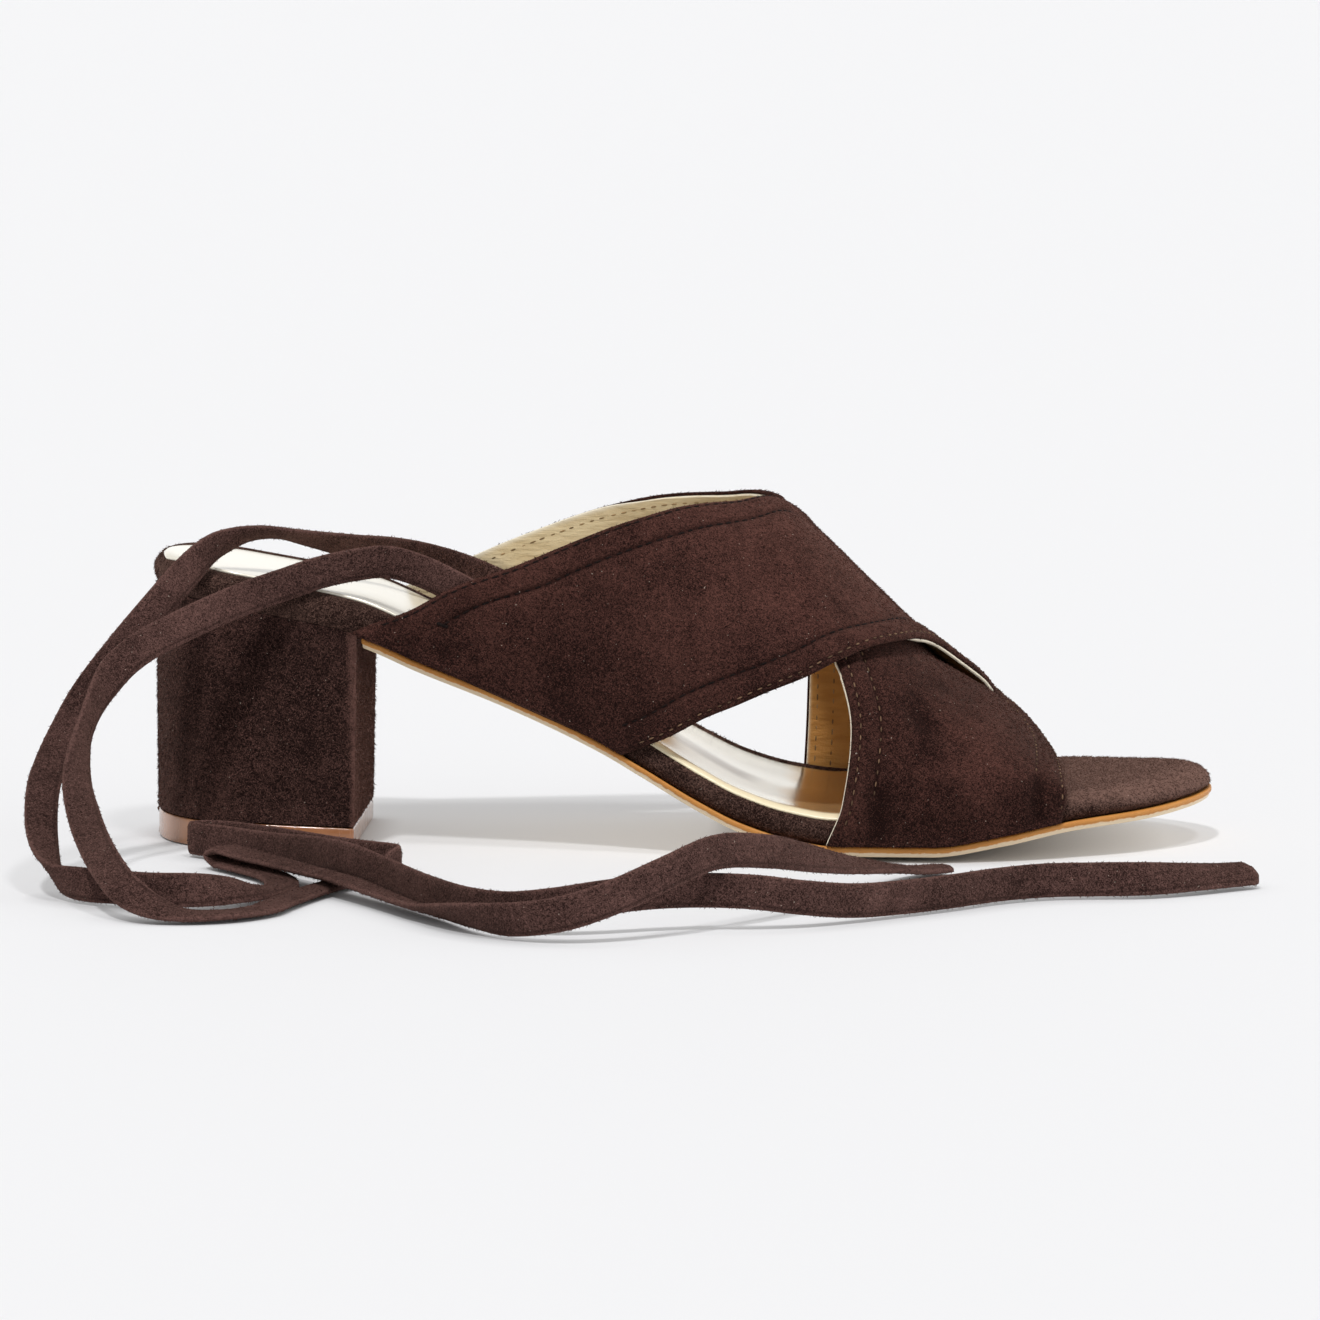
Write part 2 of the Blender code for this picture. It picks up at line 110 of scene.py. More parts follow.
# Rows and columns of the grids, and the metres within which their points are welded
GIRTH_STEPS = 97
STRAP_ROWS = 260
STRAP_CENTRE_LINES = 26
PAD_COLUMNS = 361
SOCK_COLUMNS = 321
OUTSOLE_COLUMNS = 301
HEEL_COLUMNS = 60
HEEL_ROWS = 44
TIE_COLUMNS = 33
TIE_STEPS = 8
WELD = 0.000004
SLIVER = 0.000002

# Section of the ties: how square the band's edges and faces are, and how full it is
TIE_END_ROUND = 2.0
TIE_EDGE_POWER = 0.5
TIE_FACE_POWER = 0.85
TIE_FULLNESS = 0.58

# Nap of the suede pieces: number of fibres, their length, and how much paler than the piece they are
Nap = namedtuple("Nap", "count length lighten")
STRAP_NAP = Nap(20000, 0.62, 0.0)
TIE_NAP = Nap(11000, 0.62, 0.4)
FOOTBED_NAP = Nap(18000, 0.75, 0.4)
HEEL_NAP = Nap(22000, 0.85, 0.5)
NAP_SEED = 1
NAP_FREE_OF_SEAM = 0.15

# Fibres of the nap: the way they are brushed, and the least and most of their slope, reach and so on
FIBRE_WAY = (0.25, 0.0, -0.6)
FIBRE_SCATTER = 0.8
FIBRE_STAND = (12, 48)
FIBRE_REACH = (0.55, 1.25)
FIBRE_RADIUS = (0.065, 0.115)
FIBRE_TONE = (-0.3, 0.75)
FIBRE_DEPTH = 0.04

# Stitches of each thread: length, width, and how far they sink in (minus stands proud)
Stitch = namedtuple("Stitch", "length width sink")
STITCHES = {
    "dark": Stitch(1.7, 0.5, -0.02),
    "tan": Stitch(1.2, 0.4, -0.16),
    "lining": Stitch(1.5, 0.45, 0.06),
}
TACK = Stitch(0.9, 0.9, -0.05)
TACK_PITCH = 0.6
TACK_GAPS = (-0.9, -0.3, 0.3, 0.9)
STITCH_SEED = 7
STITCH_WANDER = 0.12
STITCH_SIGHT = 0.6
STITCH_STRETCH = (0.75, 1.1)
STITCH_DEPTH = (-0.03, 0.06)
LINING_ROW_GAP = 2.2

# Grains of the nap: waves a metre, detail, roughness, distortion, and how far each shifts the tone
Grain = namedtuple("Grain", "scale detail roughness distortion amount")
NAP_GRAINS = {
    "patch": Grain(42.0, 3.0, 0.55, 0.0, 0.85),
    "cloud": Grain(180.0, 2.0, 0.5, 0.0, 0.5),
    "fibre": Grain(3600.0, 2.0, 0.6, 0.0, 2.4),
    "hair": Grain(1500.0, 2.0, 0.6, 1.4, 1.9),
}

# Stage in metres and degrees: the camera round its aim, the photographed frame, the floor and the lights
CAMERA_AIM = (-0.005, 0.0, 0.0394)
CAMERA_YAW = 2.4
CAMERA_RISE = 6.5
CAMERA_DISTANCE = 1.5
SENSOR_WIDTH = 36.0
FRAME_PIXELS = 1320
PIXELS_PER_MM = 4.47
FLOOR_SIZE = 60.0
FLOOR_HEIGHT = -0.0002
# Reach of the painted contact shadow, within which the floor's glow fades close under the shoe
PAINTED_CONTACT_SHADOW_REACH = 0.008
Sun = namedtuple("Sun", "name share spread way")
SUNS = (
    Sun("left_light", 1.0, 5, (0.17, 0.6, -1.0)),
    Sun("right_light", 0.45, 8, (-0.26, 0.4, -1.0)),
)

# Footbed stations: underside height on the middle line, pad thickness, half widths
Station = namedtuple("Station", "at under pad outer inner")
STATIONS = (
    Station(0, 57.3, 7.0, 26.0, 26.0),
    Station(20, 53.5, 7.0, 26.6, 26.6),
    Station(40, 49.7, 7.0, 27.8, 27.3),
    Station(48, 47.7, 7.0, 28.0, 27.3),
    Station(61, 42.1, 7.0, 28.4, 26.6),
    Station(79, 34.7, 7.0, 29.2, 26.0),
    Station(101, 24.2, 7.0, 31.5, 27.6),
    Station(110, 19.0, 7.0, 33.0, 29.0),
    Station(123, 11.5, 6.8, 35.4, 31.8),
    Station(132, 7.2, 6.6, 37.2, 34.0),
    Station(143, 3.9, 6.5, 39.0, 36.6),
    Station(153, 2.5, 6.5, 40.3, 38.6),
    Station(174, 2.5, 6.5, 40.8, 41.0),
    Station(189, 4.6, 6.4, 38.8, 40.6),
    Station(203, 7.3, 6.2, 35.4, 38.4),
    Station(222, 9.7, 6.0, 31.0, 34.0),
    Station(236, 12.0, 5.5, 27.0, 30.0),
)

# The last over the foot: height and sideways place of the instep ridge
Ridge = namedtuple("Ridge", "at height side")
RIDGE = (
    Ridge(40, 127.3, 2),
    Ridge(70, 119.3, 3),
    Ridge(93, 109.3, 4),
    Ridge(105, 102.3, 5),
    Ridge(118, 92.8, 6),
    Ridge(130, 82.8, 7),
    Ridge(142, 73.8, 8),
    Ridge(160, 56.6, 8),
    Ridge(178, 39.5, 8),
    Ridge(186, 33.4, 8),
    Ridge(194, 27.4, 7),
    Ridge(200, 21.8, 6),
    Ridge(205, 16.8, 5),
)

# Strap edges: the stations of the rear and front edge at each share around the foot
Edges = namedtuple("Edges", "at rear front")
OVER_STRAP = (
    Edges(0.00, 46, 106),
    Edges(0.05, 58, 116),
    Edges(0.10, 68.5, 125),
    Edges(0.15, 81.5, 136),
    Edges(0.20, 93, 148),
    Edges(0.25, 104, 158),
    Edges(0.30, 114.5, 165.5),
    Edges(0.40, 132.5, 174),
    Edges(0.50, 141.5, 185.8),
    Edges(0.62, 143.5, 190),
    Edges(0.75, 145.5, 193.5),
    Edges(0.88, 145, 197.5),
    Edges(1.00, 144, 199),
)
UNDER_STRAP = (
    Edges(0.00, 151, 202.5),
    Edges(0.05, 154.5, 203.5),
    Edges(0.15, 156.5, 203),
    Edges(0.25, 152.5, 202.5),
    Edges(0.33, 148, 201.8),
    Edges(0.42, 144, 200),
    Edges(0.50, 141.5, 196.5),
    Edges(0.60, 129.5, 186),
    Edges(0.70, 109, 169),
    Edges(0.80, 87.5, 147),
    Edges(0.90, 66, 125),
    Edges(0.95, 55.5, 116),
    Edges(1.00, 46, 106),
)

# Distances in from a strap's edge where its grid has lines, close together at the sewn rows
EDGE_LINES = (
    *(0, 0.15, 0.35, 0.6, 0.8, 1.0, 1.2, 1.45, 1.7, 1.95, 2.2, 2.6),
    *(3.3, 4.1, 4.8, 5.3, 5.6, 5.9, 6.2, 6.5, 6.9, 7.4, 8.2, 9.4),
)

# Ties: places of the band's middle, and the lean of its width from upright (90 lies flat)
Lay = namedtuple("Lay", "x y z lean")
INNER_TIE = (
    Lay(-42, 24.2, 53.5, 8),
    Lay(-50, 22.8, 57, 6),
    Lay(-58, 18, 60, 10),
    Lay(-66, 10.5, 62.5, 25),
    Lay(-74, 2.5, 64.5, 45),
    Lay(-82, -5, 66.8, 65),
    Lay(-88, -11, 68.5, 75),
    Lay(-94, -16.5, 69, 60),
    Lay(-99, -21, 68, 35),
    Lay(-103, -25.5, 66.3, 10),
    Lay(-107.5, -31, 62, -15),
    Lay(-113, -37.5, 55.5, -32),
    Lay(-120, -45, 47, -40),
    Lay(-127, -53, 37.5, -50),
    Lay(-131, -61, 29.5, -62),
    Lay(-133, -69, 24, -72),
    Lay(-133.5, -78, 19.5, -78),
    Lay(-132.5, -88, 12.5, -75),
    Lay(-130, -97, 7.2, -55),
    Lay(-127, -104, 4.6, -25),
    Lay(-121, -109, 4.1, 0),
    Lay(-113.5, -112.8, 4.1, 0),
    Lay(-105, -116, 4.1, 0),
    Lay(-96.5, -115.5, 4.0, 20),
    Lay(-89, -109.5, 3.2, 50),
    Lay(-84, -102, 1.9, 78),
    Lay(-81.5, -93, 1.2, 90),
    Lay(-82, -84, 1.2, 90),
    Lay(-85, -75, 1.2, 90),
    Lay(-90, -67, 1.2, 90),
    Lay(-94.5, -60.5, 1.2, 90),
    Lay(-97, -57, 1.3, 90),
    Lay(-98.7, -54.6, 2.8, -90),
    Lay(-96.7, -57.4, 4.3, -90),
    Lay(-94, -61, 4.2, -90),
    Lay(-90, -66, 4.0, -90),
    Lay(-84, -73.5, 3.8, -90),
    Lay(-76, -84, 3.5, -88),
    Lay(-67, -97.5, 3.5, -85),
    Lay(-58, -111.5, 2.6, -80),
    Lay(-48, -129, 2.3, -70),
    Lay(-38, -146, 3.6, -40),
    Lay(-28, -155, 4.3, -10),
    Lay(-18, -158, 6.0, 0),
    Lay(-8, -157, 9.2, 0),
    Lay(2, -152, 13.2, 0),
    Lay(12, -142, 16.3, 5),
    Lay(22, -129, 14.8, 15),
    Lay(31, -113, 11.2, 35),
    Lay(39, -95, 7.4, 60),
    Lay(47, -77, 4.0, 80),
    Lay(53, -65, 1.8, 88),
    Lay(59, -58, 1.2, 90),
)
OUTER_TIE = (
    Lay(-42, -27.6, 54.5, 0),
    Lay(-50, -26.4, 58.8, 0),
    Lay(-57, -24.8, 61.8, 0),
    Lay(-64, -24.2, 63.6, 0),
    Lay(-71, -25, 63, 0),
    Lay(-79, -27.2, 61.4, 0),
    Lay(-86, -30, 59.2, -5),
    Lay(-93, -33.5, 57, -10),
    Lay(-101, -38.5, 54, -15),
    Lay(-108, -44, 51, -22),
    Lay(-115, -50.5, 47.5, -30),
    Lay(-120, -56, 43.5, -30),
    Lay(-123.5, -62, 38, -8),
    Lay(-125.3, -68.5, 32.5, -8),
    Lay(-125.7, -76, 27.5, -30),
    Lay(-125, -86, 22.5, -62),
    Lay(-122.5, -97, 17.8, -90),
    Lay(-119, -109, 13.6, -108),
    Lay(-114.5, -121.5, 9.8, -125),
    Lay(-109.5, -129.5, 5.9, -130),
    Lay(-104, -133, 3.2, -118),
    Lay(-97, -133.5, 1.5, -98),
    Lay(-89, -131, 1.3, -90),
    Lay(-82.5, -124, 1.2, -90),
    Lay(-79.5, -114, 1.2, -90),
    Lay(-76.5, -104, 1.2, -90),
    Lay(-73, -94, 1.2, -90),
    Lay(-69, -85, 1.2, -90),
    Lay(-64.5, -78, 1.6, -82),
    Lay(-60, -75, 4.0, -35),
    Lay(-58, -72.8, 4.1, 0),
    Lay(-60, -70, 4.1, 0),
    Lay(-65, -66.5, 4.1, 0),
    Lay(-72, -61, 4.1, 0),
    Lay(-80, -53, 4.1, 0),
    Lay(-90, -43.5, 4.1, 0),
    Lay(-98, -37.5, 4.1, 0),
    Lay(-103.3, -36, 4.1, 0),
    Lay(-106.3, -38.2, 4.1, 0),
    Lay(-104, -41, 4.1, 0),
    Lay(-98.5, -44.5, 4.1, 0),
    Lay(-92, -50.5, 4.1, 0),
    Lay(-85, -58, 4.4, 0),
    Lay(-76, -71, 5.6, 0),
    Lay(-67, -86, 6.3, 0),
    Lay(-58, -100, 5.2, 0),
    Lay(-48, -117.5, 4.2, 0),
    Lay(-38, -134, 4.1, 0),
    Lay(-29, -144, 4.8, 0),
    Lay(-20, -147.5, 6.2, 0),
    Lay(-10, -146, 7.6, 0),
    Lay(0, -142, 8.2, 0),
    Lay(10, -139.5, 8.2, 0),
    Lay(20, -139, 7.8, 0),
    Lay(30, -135.5, 6.2, 0),
    Lay(40, -128.5, 4.6, 0),
    Lay(50, -120, 4.1, 0),
    Lay(60, -111.5, 4.1, 0),
    Lay(70, -101.5, 4.1, 0),
    Lay(80, -95, 4.1, 5),
    Lay(91, -93, 4.1, 5),
    Lay(101, -91, 4.0, 22),
    Lay(110, -85.5, 3.6, 42),
    Lay(118, -79, 3.1, 54),
    Lay(124.5, -74, 2.9, 58),
)

# Rows of stitches: distance in from a strap's edge, first and last share, and thread
Row = namedtuple("Row", "gap low high thread")
OVER_REAR_ROWS = (Row(0.9, 0.02, 1.0, "dark"), Row(6.0, 0.052, 0.45, "dark"))
OVER_FRONT_ROWS = (Row(1.2, 0.02, 1.0, "tan"), Row(6.2, 0.03, 0.46, "dark"))
UNDER_REAR_ROWS = (Row(1.9, 0.02, 1.0, "tan"), Row(6.3, 0.06, 1.0, "tan"))
UNDER_FRONT_ROWS = (Row(1.2, 0.02, 1.0, "tan"), Row(7.4, 0.12, 1.0, "tan"))

# Creases seen from the outer side: two ends by station and height, depth (minus for a ridge) and width
Crease = namedtuple("Crease", "station height to_station to_height depth width")
OVER_CREASES = (
    Crease(66, 44, 74, 60, 0.5, 2.6),
    Crease(65, 53, 60, 46, 0.5, 1.0),
    Crease(92, 36, 112, 62, 0.35, 5.0),
    Crease(118, 38, 128, 56, -0.4, 6.0),
)
UNDER_CREASES = (
    Crease(162, 5, 163, 16, 0.9, 1.8),
    Crease(157, 6, 158, 22, -0.5, 3.0),
    Crease(197, 9, 197, 18, 0.8, 1.6),
    Crease(170, 36, 174, 22, 0.8, 3.0),
    Crease(169, 33, 181, 24, 0.5, 1.4),
    Crease(172, 38, 184, 33, 0.45, 1.4),
    Crease(183, 12, 186, 30, -0.5, 6.0),
)


class MuleSizes(bpy.types.PropertyGroup):
    """Sizes of the straps, rows of stitches and ties."""

    strap_suede: bpy.props.FloatProperty(
        name="Strap suede", description="Thickness of the straps' suede", default=0.0011, unit="LENGTH"
    )
    strap_wall: bpy.props.FloatProperty(
        name="Strap wall", description="Thickness of suede and lining", default=0.0018, unit="LENGTH"
    )
    crossing_step: bpy.props.FloatProperty(
        name="Crossing step",
        description="How far the upper strap stands over the lower one",
        default=0.0012,
        unit="LENGTH",
    )
    edge_lift: bpy.props.FloatProperty(
        name="Edge lift",
        description="How far the upper strap's front edge gapes",
        default=0.0018,
        unit="LENGTH",
    )
    stitch_pitch: bpy.props.FloatProperty(
        name="Stitch pitch", description="Distance from stitch to stitch", default=0.0024, unit="LENGTH"
    )
    tie_width: bpy.props.FloatProperty(
        name="Tie width", description="Width of the ankle ties", default=0.0072, unit="LENGTH"
    )
    tie_thickness: bpy.props.FloatProperty(
        name="Tie thickness", description="Thickness of the ankle ties", default=0.0014, unit="LENGTH"
    )


class MuleColours(bpy.types.PropertyGroup):
    """Colours of the leathers, threads and stage."""

    # Each suede's dark and light tones are the two ends of its nap blend. The nap's tone mark moves it between them,
    # partly by random tone and partly by painted light and shade.
    strap_dark: bpy.props.FloatVectorProperty(
        name="Strap suede, dark",
        description="Suede brushed down",
        default=(0.011, 0.0041, 0.0035),
        subtype="COLOR",
    )
    strap_light: bpy.props.FloatVectorProperty(
        name="Strap suede, light",
        description="Suede brushed up",
        default=(0.100, 0.041, 0.032),
        subtype="COLOR",
    )
    footbed_dark: bpy.props.FloatVectorProperty(
        name="Footbed suede, dark",
        description="Footbed wrap brushed down",
        default=(0.013, 0.0057, 0.0045),
        subtype="COLOR",
    )
    footbed_light: bpy.props.FloatVectorProperty(
        name="Footbed suede, light",
        description="Footbed wrap brushed up",
        default=(0.162, 0.092, 0.073),
        subtype="COLOR",
    )
    heel_dark: bpy.props.FloatVectorProperty(
        name="Heel suede, dark",
        description="Heel cover brushed down",
        default=(0.010, 0.0042, 0.0037),
        subtype="COLOR",
    )
    heel_light: bpy.props.FloatVectorProperty(
        name="Heel suede, light",
        description="Heel cover brushed up",
        default=(0.124, 0.062, 0.051),
        subtype="COLOR",
    )
    tie_dark: bpy.props.FloatVectorProperty(
        name="Tie suede, dark",
        description="Ankle ties brushed down",
        default=(0.018, 0.0086, 0.0073),
        subtype="COLOR",
    )
    tie_light: bpy.props.FloatVectorProperty(
        name="Tie suede, light",
        description="Ankle ties brushed up",
        default=(0.132, 0.069, 0.059),
        subtype="COLOR",
    )
    lining: bpy.props.FloatVectorProperty(
        name="Lining",
        description="Leather inside the straps, towards the heel",
        default=(0.80, 0.67, 0.43),
        subtype="COLOR",
    )
    # Painted shade: the front lining tone is the same leather painted darker and more golden, as it lies in shade
    # under the straps.
    lining_front_painted_shade: bpy.props.FloatVectorProperty(
        name="Front lining",
        description="Leather inside the straps, towards the toe",
        default=(0.60, 0.31, 0.09),
        subtype="COLOR",
    )
    sock: bpy.props.FloatVectorProperty(
        name="Sock",
        description="Metallic leather on the footbed",
        default=(0.94, 0.89, 0.76),
        subtype="COLOR",
    )
    # Painted reflection: the front of the sock is painted golden for the golden lining it reflects and the shade
    # under the straps.
    sock_front_painted_reflection: bpy.props.FloatVectorProperty(
        name="Front of sock",
        description="Metallic leather under the straps",
        default=(0.80, 0.56, 0.28),
        subtype="COLOR",
    )
    sole_edge: bpy.props.FloatVectorProperty(
        name="Sole edge",
        description="Stained upper part of the sole's edge",
        default=(0.44, 0.16, 0.026),
        subtype="COLOR",
    )
    sole_rim: bpy.props.FloatVectorProperty(
        name="Sole rim",
        description="Pale lower line of the sole's edge",
        default=(0.72, 0.58, 0.40),
        subtype="COLOR",
    )
    lift: bpy.props.FloatVectorProperty(
        name="Top lift", description="Walking piece of the heel", default=(0.29, 0.12, 0.052), subtype="COLOR"
    )
    dark_thread: bpy.props.FloatVectorProperty(
        name="Dark thread",
        description="Thread of the upper strap's rear edge and second rows",
        default=(0.0085, 0.0040, 0.0032),
        subtype="COLOR",
    )
    tan_thread: bpy.props.FloatVectorProperty(
        name="Tan thread",
        description="Thread of the lower strap and the upper strap's front edge",
        default=(0.15, 0.088, 0.052),
        subtype="COLOR",
    )
    lining_thread: bpy.props.FloatVectorProperty(
        name="Lining thread",
        description="Thread on the lining side",
        default=(0.30, 0.20, 0.10),
        subtype="COLOR",
    )
    floor: bpy.props.FloatVectorProperty(
        name="Floor", description="Pale studio floor", default=(0.510, 0.510, 0.520), subtype="COLOR"
    )


class MuleStage(bpy.types.PropertyGroup):
    """Strength of the studio light."""

    key: bpy.props.FloatProperty(name="Key light", description="Strength of the overhead light", default=1.72)
    fill: bpy.props.FloatProperty(name="Fill light", description="Light from all round", default=0.38)
    backdrop: bpy.props.FloatProperty(
        name="Backdrop",
        description="Light of the pale backdrop behind the shoe",
        default=0.7,
    )
    right: bpy.props.FloatProperty(
        name="Right light",
        description="Soft light in front of the toe",
        default=1.5,
    )
    # The floor's glow is painted fill light that the floor emits. It fades into a painted contact shadow close under
    # the shoe.
    glow: bpy.props.FloatProperty(
        name="Floor glow",
        description="Light that the pale floor gives back",
        default=0.33,
    )


def size(name):
    """A size of the add-on in millimetres."""
    return getattr(bpy.context.scene.mule_sizes, name) / MM


def colour(name):
    """A colour of the add-on with its alpha."""
    return (*getattr(bpy.context.scene.mule_colours, name), 1.0)


# Shape of the last and the sole, for arrays of places


def smooth(rows, column, at):
    """Read a column of a table at places between its rows, with no overshoot."""
    places = np.array([row.at for row in rows], float)
    values = np.array([getattr(row, column) for row in rows], float)
    gaps = np.diff(places)
    slopes = np.diff(values) / gaps
    before = 2 * gaps[1:] + gaps[:-1]
    after = gaps[1:] + 2 * gaps[:-1]
    same = slopes[:-1] * slopes[1:] > 0
    left = np.where(same, slopes[:-1], 1.0)
    right = np.where(same, slopes[1:], 1.0)
    bends = np.where(same, (before + after) / (before / left + after / right), 0.0)
    turns = np.concatenate((slopes[:1], bends, slopes[-1:]))
    at = np.clip(at, places[0], places[-1])
    i = np.clip(np.searchsorted(places, at) - 1, 0, len(rows) - 2)
    t = (at - places[i]) / gaps[i]
    start = (1 + 2 * t) * values[i] + t * gaps[i] * turns[i]
    end = (3 - 2 * t) * values[i + 1] + (t - 1) * gaps[i] * turns[i + 1]
    return start * (1 - t) ** 2 + end * t * t


def ease(share):
    """Soft step from 0 to 1."""
    share = np.clip(share, 0.0, 1.0)
    return share * share * (3 - 2 * share)


def bump(distance, width):
    """Soft hill of height 1 at distance 0."""
    return np.exp(-((distance / width) ** 2))


def middle(station):
    """Sideways place of the sole's middle line, which bends inward at the toe."""
    return TOE_TIP_SHIFT * ease((station - LENGTH / 2) / (LENGTH / 2))


def end_rounding(station):
    """Share of the half width that is left towards the round heel seat and the round toe."""
    back = np.clip(1 - station / HEEL_ROUND, 0.0, 1.0)
    front = np.clip((station - TOE_START) / (LENGTH - TOE_START), 0.0, 1.0)
    return np.sqrt(1 - back * back) * (1 - front**TOE_POWER) ** (1 / TOE_POWER)


def outline(station, inner, grow=0.0):
    """Sideways place of the footbed's outline, on its inner or outer side."""
    width = np.where(inner, smooth(STATIONS, "inner", station) + grow, -smooth(STATIONS, "outer", station) - grow)
    return middle(station) + (width - middle(station)) * end_rounding(station)


def underside(station, side):
    """Height of the footbed's underside, which is crowned across the forefoot."""
    edge = np.abs(outline(station, side > middle(station)) - middle(station))
    share = np.minimum(np.abs(side - middle(station)) / np.maximum(edge, HEEL_ROUND), 1.1)
    crown = CROWN * ease((station - OUTSOLE_BACK) / (LENGTH / 2 - OUTSOLE_BACK))
    crown = crown * ease((LENGTH - station) / CROWN_FADE)
    edge_share = np.maximum(share - CROWN_FLAT, 0.0) / (1 - CROWN_FLAT)
    return smooth(STATIONS, "under", station) + crown * edge_share**2


def skin(station, share, lift):
    """Points of the last's outer skin."""
    station, share, lift = (np.ravel(v) for v in np.broadcast_arrays(station, share, lift))
    inner = share > 0.5
    feather = outline(station, inner)
    foot = feather + np.where(inner, 1, -1) * (CLEARANCE + size("strap_wall") + lift)
    base = underside(station, feather)
    crest = smooth(RIDGE, "height", station) + lift * math.sqrt(2)
    crest_side = smooth(RIDGE, "side", station)
    angle = np.linspace(0, math.pi / 2, GIRTH_STEPS)
    power = 2 / STRAP_ROUNDNESS
    side = crest_side[:, None] + (foot - crest_side)[:, None] * np.cos(angle) ** power
    height = (base + STRAP_RISE)[:, None] + (crest - base - STRAP_RISE)[:, None] * np.sin(angle) ** power
    side = np.hstack((foot[:, None], side))
    height = np.hstack((base[:, None], height))
    girth = np.cumsum(np.hypot(np.diff(side, axis=1), np.diff(height, axis=1)), axis=1)
    girth = np.hstack((np.zeros((len(girth), 1)), girth))
    climb = np.where(inner, 2 * (1 - share), 2 * share) * girth[:, -1]
    i = np.clip((girth < climb[:, None]).sum(axis=1) - 1, 0, girth.shape[1] - 2)
    n = np.arange(len(i))
    t = (climb - girth[n, i]) / (girth[n, i + 1] - girth[n, i])
    side = side[n, i] + (side[n, i + 1] - side[n, i]) * t
    height = height[n, i] + (height[n, i + 1] - height[n, i]) * t
    return np.stack((station, side, height), axis=1)


def ring_station(turn):
    """Station at a turn round the outline, which runs heel, outer side, toe, inner side."""
    return LENGTH / 2 * (1 - np.cos(2 * math.pi * turn))


def ring_turn(station):
    """Turn at which the outer side reaches a station."""
    return math.acos(1 - 2 * station / LENGTH) / (2 * math.pi)


def ring_place(turn, inset, grow=0.0):
    """Places on the footbed's outline, drawn in by an inset."""
    station = ring_station(turn)
    side = outline(station, turn > 0.5, grow)
    draw = np.minimum(inset, PAD_END_DRAW)
    station = LENGTH / 2 + (station - LENGTH / 2) * (1 - 2 * draw / LENGTH)
    side = middle(station) + (side - middle(station)) * (1 - inset / PAD_CENTRE)
    return station, side


def rim_size(station):
    """How far in and how far down the padded rim is rounded, more at the toe."""
    toe = ease((station - TOE_RIM_START) / TOE_RIM_RUN)
    return RIM_REACH + (TOE_RIM_REACH - RIM_REACH) * toe, RIM_DROP + (TOE_RIM_DROP - RIM_DROP) * toe


def rim_fall(station, inset):
    """How far the padded rim falls below the footbed's top, at an inset from its outline."""
    reach, drop = rim_size(station)
    share = np.clip(1 - inset / reach, 0.0, 1.0)
    return drop * (1 - np.sqrt(1 - share * share))


def rolled(turn):
    """Where the suede rim stands up as a roll round the sock: along the inner side, less at the back."""
    inner_side = ROLL_AT_BACK + (1 - ROLL_AT_BACK) * ease((1 - turn) / 0.06)
    outer_side = ROLL_AT_BACK * (1 - ease(turn / 0.05))
    return np.where(turn > 0.5, inner_side, outer_side) * ease((ROLL_FRONT - ring_station(turn)) / ROLL_FADE)


def unit(vectors):
    """Vectors at length 1."""
    return vectors / np.maximum(np.linalg.norm(vectors, axis=-1, keepdims=True), 1e-9)


def to_model(points):
    """Shoe sizes in millimetres to the model's metres."""
    return (points - np.array((ORIGIN_STATION, ORIGIN_SIDE, 0.0))) * MM


def facing(points):
    """Unit directions square to a sheet of points."""
    return unit(np.cross(np.gradient(points, axis=1), np.gradient(points, axis=0)))


# Making meshes


def read_rows(items, key, kind=float):
    """Three numbers of each vertex or triangle of a mesh, as rows."""
    flat = np.empty(len(items) * 3, dtype=kind)
    items.foreach_get(key, flat)
    return flat.reshape(-1, 3)


def shaped_grid(name, points, finish, marks=None, close=True):
    """A grid primitive whose vertices are moved to rows and columns of points, with marks for its material."""
    rows, columns = points.shape[:2]
    bpy.ops.object.select_all(action="DESELECT")
    bpy.ops.mesh.primitive_grid_add(x_subdivisions=columns - 1, y_subdivisions=rows - 1, size=1.0)
    piece = bpy.context.object
    piece.name = piece.data.name = name
    mesh = piece.data
    flat = read_rows(mesh.vertices, "co")
    column = np.rint((flat[:, 0] + 0.5) * (columns - 1)).astype(int)
    row = np.rint((flat[:, 1] + 0.5) * (rows - 1)).astype(int)
    mesh.vertices.foreach_set("co", points[row, column].ravel())
    for mark_name, values in (marks or {}).items():
        values = np.broadcast_to(values, (rows, columns))[row, column]
        layer = mesh.attributes.new(mark_name, "FLOAT", "POINT")
        layer.data.foreach_set("value", np.ascontiguousarray(values, dtype=np.float32))
    bpy.ops.object.mode_set(mode="EDIT")
    bpy.ops.mesh.select_all(action="SELECT")
    bpy.ops.mesh.remove_doubles(threshold=WELD)
    bpy.ops.mesh.dissolve_degenerate(threshold=SLIVER)
    if close:
        bpy.ops.mesh.select_all(action="SELECT")
        bpy.ops.mesh.fill_holes(sides=0)
    bpy.ops.mesh.select_all(action="SELECT")
    bpy.ops.mesh.normals_make_consistent(inside=False)
    bpy.ops.object.mode_set(mode="OBJECT")
    bpy.ops.object.shade_smooth()
    mesh.materials.append(finish)
    return piece


def finish_with(piece, kind, **settings):
    """Add a modifier and apply it."""
    bpy.ops.object.select_all(action="DESELECT")
    piece.select_set(True)
    bpy.context.view_layer.objects.active = piece
    change = piece.modifiers.new(kind.lower(), kind)
    for key, value in settings.items():
        setattr(change, key, value)
    bpy.ops.object.modifier_apply(modifier=change.name)


def round_edges(piece, width):
    """Bevel a piece's sharp edges by a width in millimetres."""
    angle = math.radians(BEVEL_ANGLE)
    finish_with(piece, "BEVEL", width=width * MM, segments=3, limit_method="ANGLE", angle_limit=angle)


def settle(piece, node):
    """Ride the shoe and stand for a CAD node."""
    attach(piece, "root")
    if node:
        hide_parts(node)


